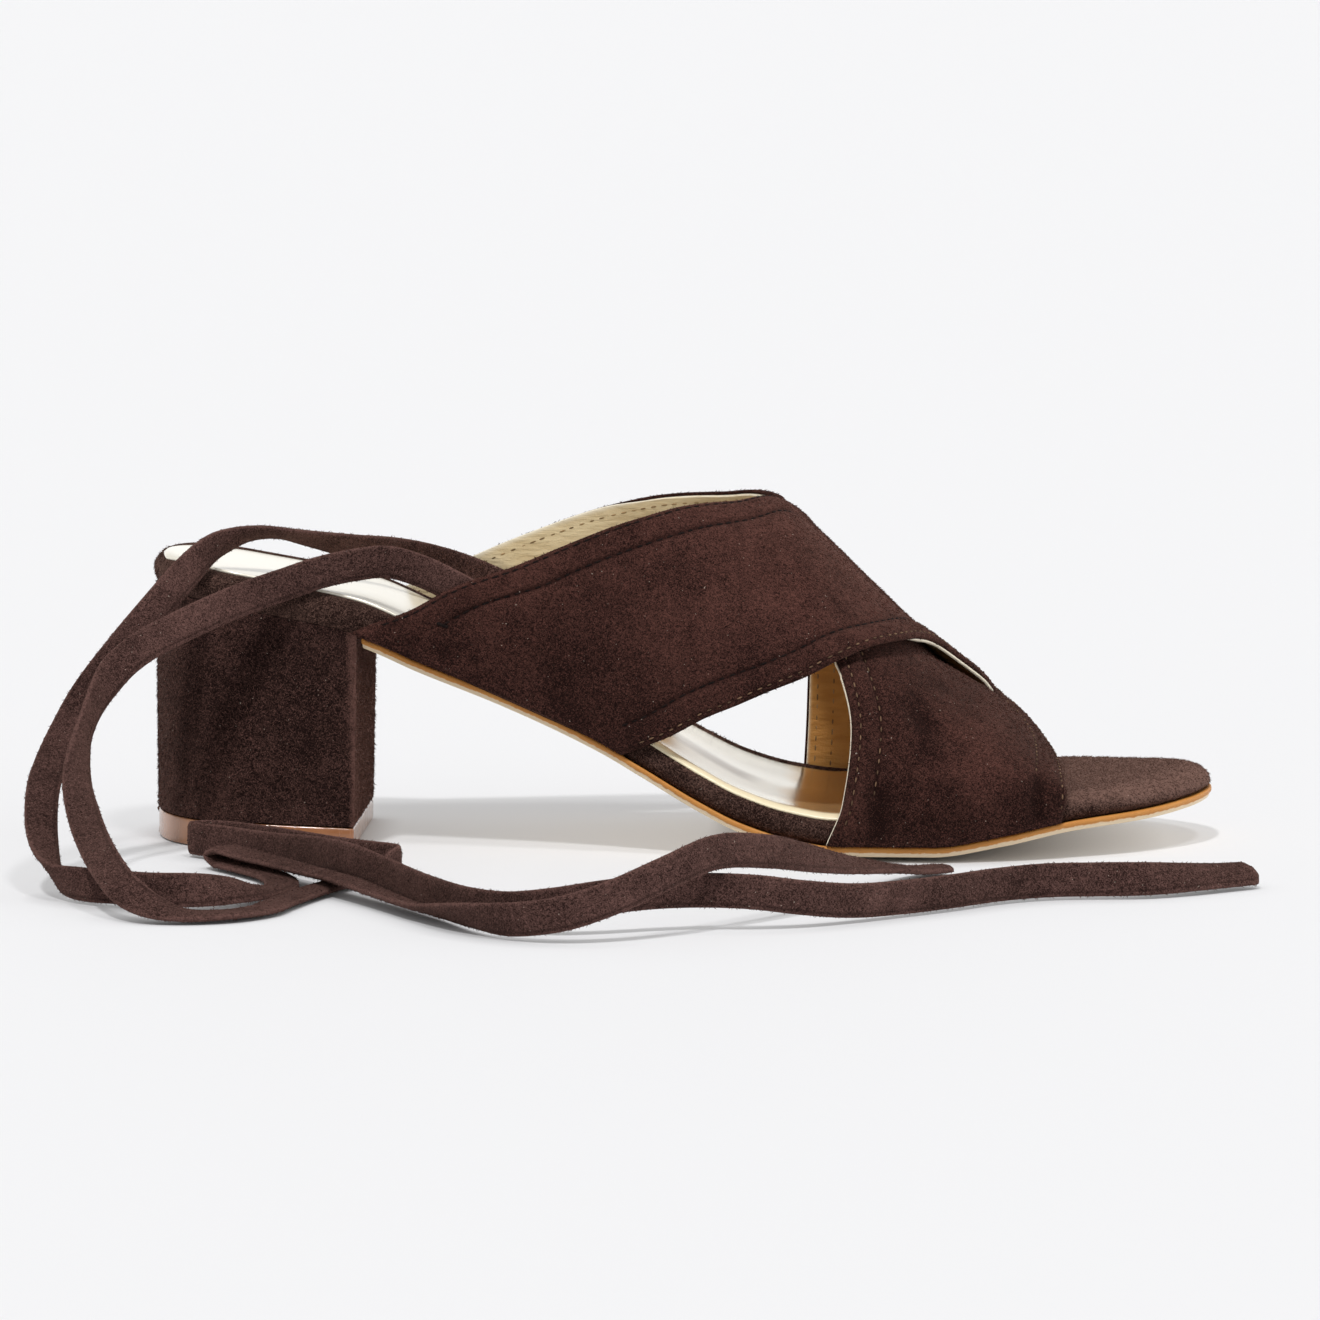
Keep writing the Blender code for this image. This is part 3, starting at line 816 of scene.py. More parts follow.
def raise_nap(piece, name, nap, keep=None):
    """Short suede fibres that stand on a piece: one mesh of thin closed spikes, brushed downwards."""
    mesh = piece.data
    count = nap.count
    mesh.calc_loop_triangles()
    corners = read_rows(mesh.loop_triangles, "vertices", np.int32)
    places = read_rows(mesh.vertices, "co")
    normals = read_rows(mesh.vertices, "normal")
    if keep is not None:
        corners = corners[keep(places[corners].mean(axis=1) / MM, normals[corners].mean(axis=1))]
    marks = {}
    for mark_name in ("seam", "brush"):
        marks[mark_name] = np.zeros(len(mesh.vertices))
        if mark_name in mesh.attributes:
            mesh.attributes[mark_name].data.foreach_get("value", marks[mark_name])
    corners = corners[marks["seam"][corners].mean(axis=1) < NAP_FREE_OF_SEAM]
    a, b, c = (places[corners[:, i]] for i in range(3))
    area = np.linalg.norm(np.cross(b - a, c - a), axis=1)
    chance = np.random.default_rng(NAP_SEED)
    pick = np.searchsorted(np.cumsum(area) / area.sum(), chance.random(count))
    pick = np.minimum(pick, len(corners) - 1)
    mix = chance.random((count, 2))
    mix = np.where(mix.sum(axis=1, keepdims=True) > 1, 1 - mix, mix)
    share = np.column_stack((1 - mix.sum(axis=1), mix))[:, :, None]
    root = (places[corners[pick]] * share).sum(axis=1)
    up = unit((normals[corners[pick]] * share).sum(axis=1))
    way = chance.normal(size=(count, 3)) * FIBRE_SCATTER + np.array(FIBRE_WAY)
    way = unit(way - up * (way * up).sum(axis=1, keepdims=True))
    stand = np.radians(chance.uniform(*FIBRE_STAND, (count, 1)))
    grow = up * np.sin(stand) + way * np.cos(stand)
    reach = nap.length * MM * chance.uniform(*FIBRE_REACH, (count, 1))
    across = unit(np.cross(grow, up))
    thick = np.cross(across, grow)
    radius = chance.uniform(*FIBRE_RADIUS, (count, 1)) * MM
    root = root - up * FIBRE_DEPTH * MM
    foot = (root + across * radius, root - across * radius, root + thick * radius * 1.4)
    points = np.stack((*foot, root + grow * reach), axis=1)
    faces = np.array(((0, 2, 1), (0, 1, 3), (1, 2, 3), (2, 0, 3)))
    faces = (faces[None] + (np.arange(count) * 4)[:, None, None]).reshape(-1, 3)
    made = bpy.data.meshes.new(name)
    made.vertices.add(count * 4)
    made.vertices.foreach_set("co", points.ravel())
    made.loops.add(len(faces) * 3)
    made.loops.foreach_set("vertex_index", faces.ravel().astype(np.int32))
    made.polygons.add(len(faces))
    made.polygons.foreach_set("loop_start", np.arange(0, len(faces) * 3, 3, dtype=np.int32))
    made.update(calc_edges=True)
    made.validate()
    # Each fibre takes the piece's tone mark, painted light and shade included, plus a random tone of its own.
    tone = made.attributes.new("brush", "FLOAT", "POINT")
    dark, pale = FIBRE_TONE
    tones = marks["brush"][corners[pick, 0]] + chance.uniform(dark, pale + nap.lighten, count)
    tone.data.foreach_set("value", np.repeat(tones, 4).astype(np.float32))
    made.materials.append(mesh.materials[0])
    fibres = bpy.data.objects.new(name, made)
    bpy.context.scene.collection.objects.link(fibres)
    settle(fibres, None)


# Finishes


def feed(tree, socket, value):
    """Link another node's output to a socket, or set the socket to a plain value."""
    if isinstance(value, bpy.types.NodeSocket):
        tree.links.new(value, socket)
    else:
        socket.default_value = value


def add_node(tree, kind, **values):
    """A node with its sockets set by name."""
    made = tree.nodes.new(kind)
    for key, value in values.items():
        key = key.replace("_", " ")
        feed(tree, next(s for s in made.inputs if s.name == key and s.enabled), value)
    return made


def maths(tree, operation, first, second=0.0, clamp=False):
    """The result of one sum on two values."""
    made = tree.nodes.new("ShaderNodeMath")
    made.operation = operation
    made.use_clamp = clamp
    for socket, value in zip(made.inputs, (first, second)):
        feed(tree, socket, value)
    return made.outputs[0]


def noise(tree, place, scale, detail=2.0, roughness=0.5, stretch=None, distortion=0.0):
    """Soft noise at so many waves a metre, stretched along the axes where that is asked for."""
    if stretch:
        place = add_node(tree, "ShaderNodeMapping", Vector=place, Scale=stretch).outputs[0]
    made = add_node(tree, "ShaderNodeTexNoise", Vector=place, Scale=scale, Detail=detail)
    made.inputs["Roughness"].default_value = roughness
    made.inputs["Distortion"].default_value = distortion
    return made.outputs[0]


def span(tree, value, low, high, to_low=0.0, to_high=1.0):
    """A soft step between two values."""
    made = tree.nodes.new("ShaderNodeMapRange")
    made.interpolation_type = "SMOOTHSTEP"
    tree.links.new(value, made.inputs["Value"])
    for key, number in (("From Min", low), ("From Max", high), ("To Min", to_low), ("To Max", to_high)):
        made.inputs[key].default_value = number
    return made.outputs["Result"]


def blend(tree, share, first, second, way="MIX"):
    """A mix of two colours."""
    made = tree.nodes.new("ShaderNodeMix")
    made.data_type = "RGBA"
    made.blend_type = way
    for socket, value in ((made.inputs[0], share), (made.inputs[6], first), (made.inputs[7], second)):
        feed(tree, socket, value)
    return made.outputs[2]


def mark(tree, name):
    """A mark that the piece's mesh carries."""
    made = tree.nodes.new("ShaderNodeAttribute")
    made.attribute_name = name
    return made.outputs["Fac"]


def nap_group():
    """Suede nap: brushed patches, short fibres and a few pale dust specks, shifted by a tone mark that also carries
    painted light and shade.
    """
    if "suede_nap" in bpy.data.node_groups:
        return bpy.data.node_groups["suede_nap"]
    tree = bpy.data.node_groups.new("suede_nap", "ShaderNodeTree")
    for name, way, kind in (
        ("Place", "INPUT", "NodeSocketVector"),
        ("Dark", "INPUT", "NodeSocketColor"),
        ("Light", "INPUT", "NodeSocketColor"),
        ("Seam", "INPUT", "NodeSocketFloat"),
        ("Brush", "INPUT", "NodeSocketFloat"),
        ("Colour", "OUTPUT", "NodeSocketColor"),
        ("Height", "OUTPUT", "NodeSocketFloat"),
    ):
        tree.interface.new_socket(name, in_out=way, socket_type=kind)
    given = tree.nodes.new("NodeGroupInput").outputs
    out = tree.nodes.new("NodeGroupOutput")
    # The tone mark adds painted light and shade to the nap's own tone.
    total = maths(tree, "ADD", given["Brush"], 0.40)
    grains = {}
    for name, grain in NAP_GRAINS.items():
        grains[name] = noise(
            tree, given["Place"], grain.scale, grain.detail, grain.roughness, distortion=grain.distortion
        )
        shift = maths(tree, "MULTIPLY", maths(tree, "SUBTRACT", grains[name], 0.5), grain.amount)
        total = maths(tree, "ADD", total, shift)
    total = maths(tree, "ADD", total, 0.0, clamp=True)
    total = maths(tree, "MULTIPLY", total, maths(tree, "SUBTRACT", 1.0, given["Seam"]))
    shade = blend(tree, total, given["Dark"], given["Light"])
    dust = span(tree, noise(tree, given["Place"], 1900.0, 0.0), 0.845, 0.875, 0.0, 0.5)
    tree.links.new(blend(tree, dust, shade, (0.55, 0.45, 0.37, 1.0)), out.inputs["Colour"])
    height = maths(
        tree, "ADD", maths(tree, "MULTIPLY", grains["fibre"], 0.65), maths(tree, "MULTIPLY", grains["hair"], 0.35)
    )
    tree.links.new(height, out.inputs["Height"])
    return tree


def new_finish(name):
    """A new material with its node tree and shader."""
    made = bpy.data.materials.new(name)
    made.use_nodes = True
    return made, made.node_tree, made.node_tree.nodes["Principled BSDF"]


def place_of(tree):
    """The place on the piece, in the model's metres."""
    return tree.nodes.new("ShaderNodeTexCoord").outputs["Object"]


def raise_grain(tree, shader, height, strength, distance):
    """Fine relief on a finish."""
    grain = add_node(tree, "ShaderNodeBump", Strength=strength, Distance=distance, Height=height)
    tree.links.new(grain.outputs[0], shader.inputs["Normal"])


def suede(name, tones, seamed=False):
    """Suede with its nap between a dark and a light tone, darker along its seams."""
    if name in bpy.data.materials:
        return bpy.data.materials[name]
    made, tree, shader = new_finish(name)
    nap = tree.nodes.new("ShaderNodeGroup")
    nap.node_tree = nap_group()
    tree.links.new(place_of(tree), nap.inputs["Place"])
    nap.inputs["Dark"].default_value = colour(tones + "_dark")
    nap.inputs["Light"].default_value = colour(tones + "_light")
    if seamed:
        tree.links.new(mark(tree, "seam"), nap.inputs["Seam"])
    # The piece's tone mark: its own tone plus painted light and shade.
    tree.links.new(mark(tree, "brush"), nap.inputs["Brush"])
    tree.links.new(nap.outputs["Colour"], shader.inputs["Base Color"])
    shader.inputs["Roughness"].default_value = 0.95
    shader.inputs["Specular IOR Level"].default_value = 0.06
    shader.inputs["Sheen Weight"].default_value = 0.19
    shader.inputs["Sheen Roughness"].default_value = 0.42
    shader.inputs["Sheen Tint"].default_value = (0.62, 0.35, 0.27, 1.0)
    raise_grain(tree, shader, nap.outputs["Height"], 0.8, 0.0005)
    return made


def lining_leather():
    """Fine-grained lining leather, darker in the hollows of its wrinkles, with painted shade that makes it darker and
    more golden towards the toe and low down.
    """
    if "lining_leather" in bpy.data.materials:
        return bpy.data.materials["lining_leather"]
    made, tree, shader = new_finish("lining_leather")
    place = place_of(tree)
    wrinkle = noise(tree, place, 260.0, 3.0, 0.55, (0.5, 0.5, 2.4))
    grain = noise(tree, place, 1400.0, 2.0, 0.6)
    axes = add_node(tree, "ShaderNodeSeparateXYZ", Vector=place).outputs
    # Painted shade: darker, more golden lining towards the toe and low down, under the straps.
    painted_shade_place = maths(tree, "SUBTRACT", axes[0], maths(tree, "MULTIPLY", axes[2], 0.8))
    base = blend(tree, span(tree, painted_shade_place, -0.036, -0.012), colour("lining"), colour("lining_front_painted_shade"))
    tone = span(tree, noise(tree, place, 60.0, 3.0), 0.3, 0.7, 0.0, 0.35)
    tone = maths(tree, "ADD", tone, span(tree, wrinkle, 0.35, 0.6, 0.3, 0.0), clamp=True)
    shade = blend(tree, tone, base, (0.62, 0.55, 0.45, 1.0), "MULTIPLY")
    shade = blend(tree, mark(tree, "seam"), shade, (0.20, 0.11, 0.05, 1.0))
    shade = blend(tree, mark(tree, "edge"), shade, (0.84, 0.76, 0.60, 1.0))
    tree.links.new(shade, shader.inputs["Base Color"])
    shader.inputs["Roughness"].default_value = 0.5
    shader.inputs["Specular IOR Level"].default_value = 0.4
    raise_grain(tree, shader, maths(tree, "ADD", wrinkle, maths(tree, "MULTIPLY", grain, 0.25)), 0.6, 0.0007)
    return made


def sock_leather():
    """Champagne metallic coated leather: brushed streaks, a painted brown reflection lane in the waist and a golden
    front of painted reflection and shade.
    """
    made, tree, shader = new_finish("champagne_sock_leather")
    place = place_of(tree)
    streak = noise(tree, place, 45.0, 1.0, 0.5, (0.2, 1.0, 0.2))
    along, across, _ = add_node(tree, "ShaderNodeSeparateXYZ", Vector=place).outputs
    rim = mark(tree, "rim")
    shade = blend(tree, span(tree, streak, 0.48, 0.75, 0.0, 0.4), colour("sock"), (0.74, 0.68, 0.54, 1.0))
    ragged = maths(tree, "ADD", along, maths(tree, "MULTIPLY", maths(tree, "SUBTRACT", streak, 0.5), 0.010))
    # Painted reflection: a brown lane in the waist for the dark strap that the metal reflects.
    slant = maths(tree, "ADD", maths(tree, "MULTIPLY", along, 0.33), 0.0018)
    lane = maths(tree, "ABSOLUTE", maths(tree, "ADD", across, slant))
    waist = maths(tree, "MULTIPLY", span(tree, ragged, -0.014, 0.010), span(tree, ragged, 0.014, 0.021, 1.0, 0.0))
    painted_brown_reflection = maths(tree, "MULTIPLY", span(tree, lane, 0.002, 0.009, 0.75, 0.0), waist)
    shade = blend(tree, painted_brown_reflection, shade, (0.22, 0.135, 0.065, 1.0))
    # Painted reflection and shade: the golden front under the straps.
    shade = blend(tree, span(tree, ragged, 0.022, 0.028), shade, colour("sock_front_painted_reflection"))
    # Painted reflection: a cream, non-metallic near rim where the sheet turns down.
    shade = blend(tree, rim, shade, (0.90, 0.80, 0.56, 1.0))
    tree.links.new(shade, shader.inputs["Base Color"])
    shine = span(tree, along, -0.05, -0.01, 0.2, 0.7)
    tree.links.new(maths(tree, "MULTIPLY", maths(tree, "SUBTRACT", 1.0, rim), shine), shader.inputs["Metallic"])
    tree.links.new(span(tree, streak, 0.3, 0.7, 0.17, 0.23), shader.inputs["Roughness"])
    grain = noise(tree, place, 1100.0, 2.0, 0.6)
    relief = maths(tree, "ADD", maths(tree, "MULTIPLY", streak, 0.3), maths(tree, "MULTIPLY", grain, 0.12))
    raise_grain(tree, shader, relief, 0.035, 0.0004)
    return made


def sole_leather():
    """Tan sole leather: stained edge with a pale lower line and a scuffed tread."""
    made, tree, shader = new_finish("tan_sole_leather")
    place = place_of(tree)
    fray = noise(tree, place, 700.0, 3.0, 0.6)
    level = maths(tree, "ADD", mark(tree, "level"), maths(tree, "MULTIPLY", maths(tree, "SUBTRACT", fray, 0.5), 0.35))
    stain = blend(tree, noise(tree, place, 160.0, 3.0), colour("sole_edge"), (0.54, 0.25, 0.055, 1.0))
    shade = blend(tree, span(tree, level, 0.34, 0.46), colour("sole_rim"), stain)
    tree.links.new(shade, shader.inputs["Base Color"])
    shader.inputs["Roughness"].default_value = 0.55
    shader.inputs["Specular IOR Level"].default_value = 0.35
    raise_grain(tree, shader, fray, 0.5, 0.0005)
    return made


def lift_gloss():
    """Glossy tan top lift with faint scratches."""
    made, tree, shader = new_finish("tan_top_lift")
    place = place_of(tree)
    grime = noise(tree, place, 120.0, 3.0)
    scratch = noise(tree, place, 900.0, 2.0, 0.6, (1.0, 1.0, 0.15))
    shade = blend(tree, span(tree, grime, 0.35, 0.7), colour("lift"), (0.38, 0.17, 0.08, 1.0))
    tree.links.new(shade, shader.inputs["Base Color"])
    tree.links.new(span(tree, scratch, 0.3, 0.8, 0.14, 0.32), shader.inputs["Roughness"])
    shader.inputs["Coat Weight"].default_value = 0.5
    shader.inputs["Coat Roughness"].default_value = 0.08
    return made


def thread(tone):
    """Twisted thread, in some stitches darker than in others."""
    if tone in bpy.data.materials:
        return bpy.data.materials[tone]
    made, tree, shader = new_finish(tone)
    twist = noise(tree, place_of(tree), 2200.0, 1.0)
    worn = maths(tree, "MULTIPLY", mark(tree, "tone"), 0.7)
    share = maths(tree, "ADD", maths(tree, "MULTIPLY", twist, 0.4), worn, clamp=True)
    dim, bright = ((*(v * level for v in colour(tone)[:3]), 1.0) for level in (0.25, 1.4))
    tree.links.new(blend(tree, share, dim, bright), shader.inputs["Base Color"])
    shader.inputs["Roughness"].default_value = 0.8
    shader.inputs["Specular IOR Level"].default_value = 0.15
    raise_grain(tree, shader, twist, 0.4, 0.0002)
    return made


# Pieces


def over_rise(share, station):
    """The upper strap steps up where it lies on the lower one, and is level with it beyond the ridge."""
    climb = ease((share - 0.06) / 0.14) * (1 - ease((share - 0.40) / 0.12))
    lap = ease((station - smooth(UNDER_STRAP, "rear", share) + 14) / 14)
    return size("crossing_step") * climb * lap


def under_dip(share, station):
    """The lower strap is pressed down where the upper one lies on it."""
    past_rear = ease((station - smooth(OVER_STRAP, "rear", share) + 3) / 6)
    past_front = ease((smooth(OVER_STRAP, "front", share) + 4 - station) / 5)
    return -(0.8 + 1.2 * ease((share - 0.38) / 0.12)) * past_rear * past_front


def edge_pace(edges, column, around, rise):
    """Millimetres along the shoe for each millimetre square to a strap's edge."""
    around = np.clip(around, 0.004, 0.996)

    def along_edge(share, shift=0.0):
        at = smooth(edges, column, share) + shift
        return skin(at, share, rise(share, at))

    along = unit(along_edge(around + 0.004) - along_edge(around - 0.004))
    across = along_edge(around, 0.5) - along_edge(around, -0.5)
    square = across - along * (across * along).sum(axis=1, keepdims=True)
    pace = 1 / np.linalg.norm(square, axis=1)
    wide = np.concatenate((np.full(8, pace[0]), pace, np.full(8, pace[-1])))
    return np.clip(np.convolve(wide, np.full(17, 1 / 17), "valid"), 0.6, 2.4)


def crease_relief(points, creases):
    """Soft troughs and ridges on the outer side of a strap."""
    relief = np.zeros(points.shape[:2])
    near = ease((6 - points[..., 1]) / 12)
    for crease in creases:
        start = np.array((crease.station, crease.height))
        along = np.array((crease.to_station, crease.to_height)) - start
        place = points[..., (0, 2)] - start
        share = (place @ along) / (along @ along)
        gap = np.linalg.norm(place - np.clip(share, 0, 1)[..., None] * along, axis=-1)
        fade = ease((share + 0.35) / 0.5) * ease((1.35 - share) / 0.5)
        relief -= crease.depth * bump(gap, crease.width) * fade * near
    return relief


class Strap:
    """The sheet of one strap on the last, with its distances from both edges."""

    def __init__(self, edges, rise, rear_rows, front_rows):
        self.rows = {"rear": rear_rows, "front": front_rows}
        self.around = np.linspace(0, 1, STRAP_ROWS)
        rear = smooth(edges, "rear", self.around)[:, None]
        front = smooth(edges, "front", self.around)[:, None]
        rear_pace = edge_pace(edges, "rear", self.around, rise)[:, None]
        front_pace = edge_pace(edges, "front", self.around, rise)[:, None]
        lines = np.array(EDGE_LINES)[None, :]
        rear_part = rear + rear_pace * lines
        front_part = (front - front_pace * lines)[:, ::-1]
        share = np.linspace(0, 1, STRAP_CENTRE_LINES)[None, 1:-1]
        centre = rear_part[:, -1:] + (front_part[:, :1] - rear_part[:, -1:]) * share
        self.station = np.hstack((rear_part, centre, front_part))
        self.rear_gap = (self.station - rear) / rear_pace
        self.front_gap = (front - self.station) / front_pace
        shape = self.station.shape
        self.share = np.broadcast_to(self.around[:, None], shape)
        self.skin = skin(self.station, self.share, rise(self.share, self.station)).reshape(*shape, 3)
        self.out = facing(self.skin)
        self.gap = np.minimum(self.rear_gap, self.front_gap)

    def sewn(self, row, width):
        """How far the first or second sewn row draws the leather in, from 0 to 1."""
        drawn = np.zeros(self.gap.shape)
        for edge, gap in (("rear", self.rear_gap), ("front", self.front_gap)):
            line = self.rows[edge][row]
            length = ease((self.share - line.low) / 0.015) * ease((line.high + 0.02 - self.share) / 0.03)
            drawn = np.maximum(drawn, bump(gap - line.gap, width) * length)
        return drawn

    def draw_back(self, sheet, rear_inset, front_inset):
        """A sheet whose edges stop short of the strap's edges, or peek out past them."""
        drawn = np.empty_like(sheet)
        for row, stations in enumerate(self.station):
            low = np.interp(rear_inset[row], self.rear_gap[row], stations)
            high = np.interp(front_inset[row], self.front_gap[row][::-1], stations[::-1])
            at = np.clip(stations, low, high)
            for axis in range(3):
                drawn[row, :, axis] = np.interp(at, stations, sheet[row, :, axis])
        for inset, gap, edge, inside in ((rear_inset, self.rear_gap, 0, 5), (front_inset, self.front_gap, -1, -6)):
            outward = unit(sheet[:, edge] - sheet[:, inside])[:, None]
            peek = np.maximum(-inset, 0.0)[:, None] * np.clip(1 - gap / 0.9, 0.0, 1.0)
            drawn += outward * peek[..., None]
        return drawn


def strap_shell(name, outer, inner, finish, marks):
    """A closed shell between an outer and an inner sheet, with the same marks on both."""
    points = np.concatenate((outer, inner[:, ::-1], outer[:, :1]), axis=1)
    around = {}
    for mark_name, values in marks.items():
        around[mark_name] = np.concatenate((values, values[:, ::-1], values[:, :1]), axis=1)
    return shaped_grid(name, to_model(points), finish, around)


def faces_out(place, out):
    """Which faces of a strap look away from the foot."""
    return (out * (place - (0, 4, 20))).sum(axis=1) > 0


def make_strap(name, strap, creases, groove, lift, brush, rear_inset, front_inset):
    """Suede outside and lining inside of one strap, and the sheets that its stitches lie on."""
    suede_wall, wall = size("strap_suede"), size("strap_wall")
    sewn = np.maximum(0.8 * strap.sewn(0, 0.32), strap.sewn(1, 0.5))
    folds = crease_relief(strap.skin, creases)
    relief = folds + HEM_FULLNESS * ease(strap.gap / 1.6) * ease((6.0 - strap.gap) / 1.5)
    relief -= groove * strap.sewn(1, 0.6) + 0.2 * strap.sewn(0, 0.32)
    body = strap.skin + strap.out * lift[..., None]
    outer = body + strap.out * (relief - EDGE_ROUNDING * bump(strap.gap, 0.42))[..., None]
    inner = body - strap.out * suede_wall
    # Tone mark: the strap's tone plus painted shade in crease troughs and painted highlight on crease ridges.
    marks = {"seam": 0.68 * sewn, "brush": brush + 0.3 * folds}
    shell = strap_shell(name, outer, inner, suede("strap_suede", "strap", seamed=True), marks)
    settle(shell, "crossed_strap_upper")
    raise_nap(shell, name + "_nap", STRAP_NAP, faces_out)
    back = strap.draw_back(body - strap.out * (suede_wall + 0.03), rear_inset, front_inset)
    face = body - strap.out * (wall - 0.12 * strap.sewn(1, 0.5))[..., None]
    face = strap.draw_back(face, rear_inset, front_inset)
    marks = {"seam": 0.5 * strap.sewn(1, 0.4), "edge": bump(strap.gap, 0.6)}
    lining = strap_shell(name + "_lining", back, face, lining_leather(), marks)
    settle(lining, "crossed_strap_upper")
    return outer, face


def between(at, steps, rows):
    """A place or direction read between rows of them."""
    return np.array([np.interp(at, steps, rows[:, axis]) for axis in range(3)])


def sewn_line(strap, sheet, column, gap, low=0.0, high=1.0):
    """Points and outward directions along a strap at a distance from one edge."""
    distance = strap.rear_gap if column == "rear" else strap.front_gap
    points, out = [], []
    for row in np.where((strap.around >= low) & (strap.around <= high))[0]:
        order = np.argsort(distance[row])
        at = distance[row][order]
        points.append(between(gap, at, sheet[row][order]))
        out.append(between(gap, at, strap.out[row][order]))
    return np.array(points), unit(np.array(out))


def sew(name, rows, finish, stitch, pitch):
    """One mesh of all the stitches along rows of points, each a copy of one small thread."""
    bpy.ops.object.select_all(action="DESELECT")
    bpy.ops.mesh.primitive_uv_sphere_add(segments=6, ring_count=5, radius=1.0)
    pattern = bpy.context.object
    shape = np.array([tuple(v.co) for v in pattern.data.vertices])[:, (2, 0, 1)]
    shape = shape * (stitch.length / 2, stitch.width / 2, stitch.width / 2.4)
    faces = sorted(tuple(face.vertices) for face in pattern.data.polygons)
    bpy.data.objects.remove(pattern)
    points, polygons, tones = [], [], []
    chance = np.random.default_rng(STITCH_SEED)
    for line, out in rows:
        steps = np.concatenate(([0], np.cumsum(np.linalg.norm(np.diff(line, axis=0), axis=1))))
        for at in np.arange(pitch / 2, steps[-1] - pitch / 2, pitch):
            at += chance.normal() * STITCH_WANDER
            sights = (-STITCH_SIGHT, 0.0, STITCH_SIGHT)
            before, here, after = (between(at + sight, steps, line) for sight in sights)
            up = unit(between(at, steps, out))
            along = unit(after - before)
            up = unit(up - along * (up @ along))
            turn = np.stack((along, np.cross(up, along), up))
            first = len(points) * len(shape)
            drawn = shape * (chance.uniform(*STITCH_STRETCH), 1, 1)
            points.append(drawn @ turn + here - up * (stitch.sink + chance.uniform(*STITCH_DEPTH)))
            polygons += [tuple(i + first for i in face) for face in faces]
            tones += [chance.random()] * len(shape)
    mesh = bpy.data.meshes.new(name)
    mesh.from_pydata([tuple(p) for p in to_model(np.concatenate(points))], [], polygons)
    mesh.shade_smooth()
    layer = mesh.attributes.new("tone", "FLOAT", "POINT")
    layer.data.foreach_set("value", np.array(tones, dtype=np.float32))
    mesh.materials.append(finish)
    piece = bpy.data.objects.new(name, mesh)
    bpy.context.scene.collection.objects.link(piece)
    settle(piece, None)


def lay_directions(route):
    """The width direction of a band at each row of its route."""
    places = np.array([(lay.x, lay.y, lay.z) for lay in route], float)
    directions = []
    for i, lay in enumerate(route):
        ahead = unit(places[min(i + 1, len(route) - 1)] - places[max(i - 1, 0)])
        upright = unit(np.array((0, 0, 1)) - ahead[2] * ahead)
        sideways = unit(np.cross((0, 0, 1), ahead))
        lean = math.radians(lay.lean)
        directions.append(math.cos(lean) * upright + math.sin(lean) * sideways)
    return np.hstack((places, np.array(directions)))


def curve_through(rows, steps):
    """A smooth curve through rows whose first three columns are places."""
    ends = [2 * rows[0] - rows[1], *rows, 2 * rows[-1] - rows[-2]]
    curve = []
    for a, b, c, d in zip(ends, ends[1:], ends[2:], ends[3:]):
        t1 = math.sqrt(np.linalg.norm(b[:3] - a[:3]))
        t2 = t1 + math.sqrt(np.linalg.norm(c[:3] - b[:3]))
        t3 = t2 + math.sqrt(np.linalg.norm(d[:3] - c[:3]))
        for t in np.linspace(t1, t2, steps, endpoint=False):
            ab = a + (b - a) * t / t1
            bc = b + (c - b) * (t - t1) / (t2 - t1)
            cd = c + (d - c) * (t - t2) / (t3 - t2)
            abc = ab + (bc - ab) * t / t2
            bcd = bc + (cd - bc) * (t - t1) / (t3 - t1)
            curve.append(abc + (bcd - abc) * (t - t1) / (t2 - t1))
    return np.array(curve + [rows[-1]])


def make_tie(name, node, route):
    """A flat suede band along its route, with soft cut edges."""
    curve = curve_through(lay_directions(route), TIE_STEPS)
    place = curve[:, :3]
    width = unit(curve[:, 3:])
    ahead = unit(np.gradient(place, axis=0))
    width = unit(width - ahead * (width * ahead).sum(axis=1, keepdims=True))
    up = np.cross(ahead, width)
    angle = np.linspace(0, 2 * math.pi, TIE_COLUMNS)
    across = np.sign(np.cos(angle)) * np.abs(np.cos(angle)) ** TIE_EDGE_POWER * size("tie_width") / 2
    depth = np.sign(np.sin(angle)) * np.abs(np.sin(angle)) ** TIE_FACE_POWER
    depth = depth * size("tie_thickness") * TIE_FULLNESS
    along = np.concatenate(([0], np.cumsum(np.linalg.norm(np.diff(place, axis=0), axis=1))))
    to_end = np.clip((along[-1] - along) / TIE_END_ROUND, 0.0, 1.0)
    blunt = 0.5 + 0.5 * np.sqrt(1 - (1 - to_end) ** 2)
    points = place[:, None] + width[:, None] * across[:, None] * blunt[:, None, None] + up[:, None] * depth[:, None]
    # Painted highlight along both edges of the band. The seam mark darkens a folded seam line near one edge.
    edge = np.broadcast_to(bump(np.abs(across) - size("tie_width") / 2, 0.3), points.shape[:2])
    fold = np.broadcast_to(0.7 * bump(across + size("tie_width") * 0.36, 0.22), points.shape[:2])
    marks = {"brush": 0.3 * edge, "seam": fold}
    band = shaped_grid(name, points * MM, suede("ankle_tie_suede", "tie", seamed=True), marks)
    settle(band, node)
    raise_nap(band, name.replace("band", "nap"), TIE_NAP)
    size("tie_width") * MM


def heel_plan(columns, breast, inset):
    """The heel's plan: round back, straight sides, flat breast."""
    along = np.linspace(0, 1, columns)
    station = breast * (1 - np.cos(along * math.pi / 2))
    rows = []
    for inner in (False, True):
        side = outline(station, np.full(columns, inner))
        side = side - np.sign(side) * np.minimum(inset, np.abs(side))
        rows.append(np.stack((station + HEEL_BACK * (1 - station / breast), side), axis=1))
    across = np.linspace(0, 1, columns // 3)[1:-1, None]
    front = rows[1][-1] + (rows[0][-1] - rows[1][-1]) * across
    return np.concatenate((rows[0][::-1], rows[1][1:], front, rows[0][-1:]))


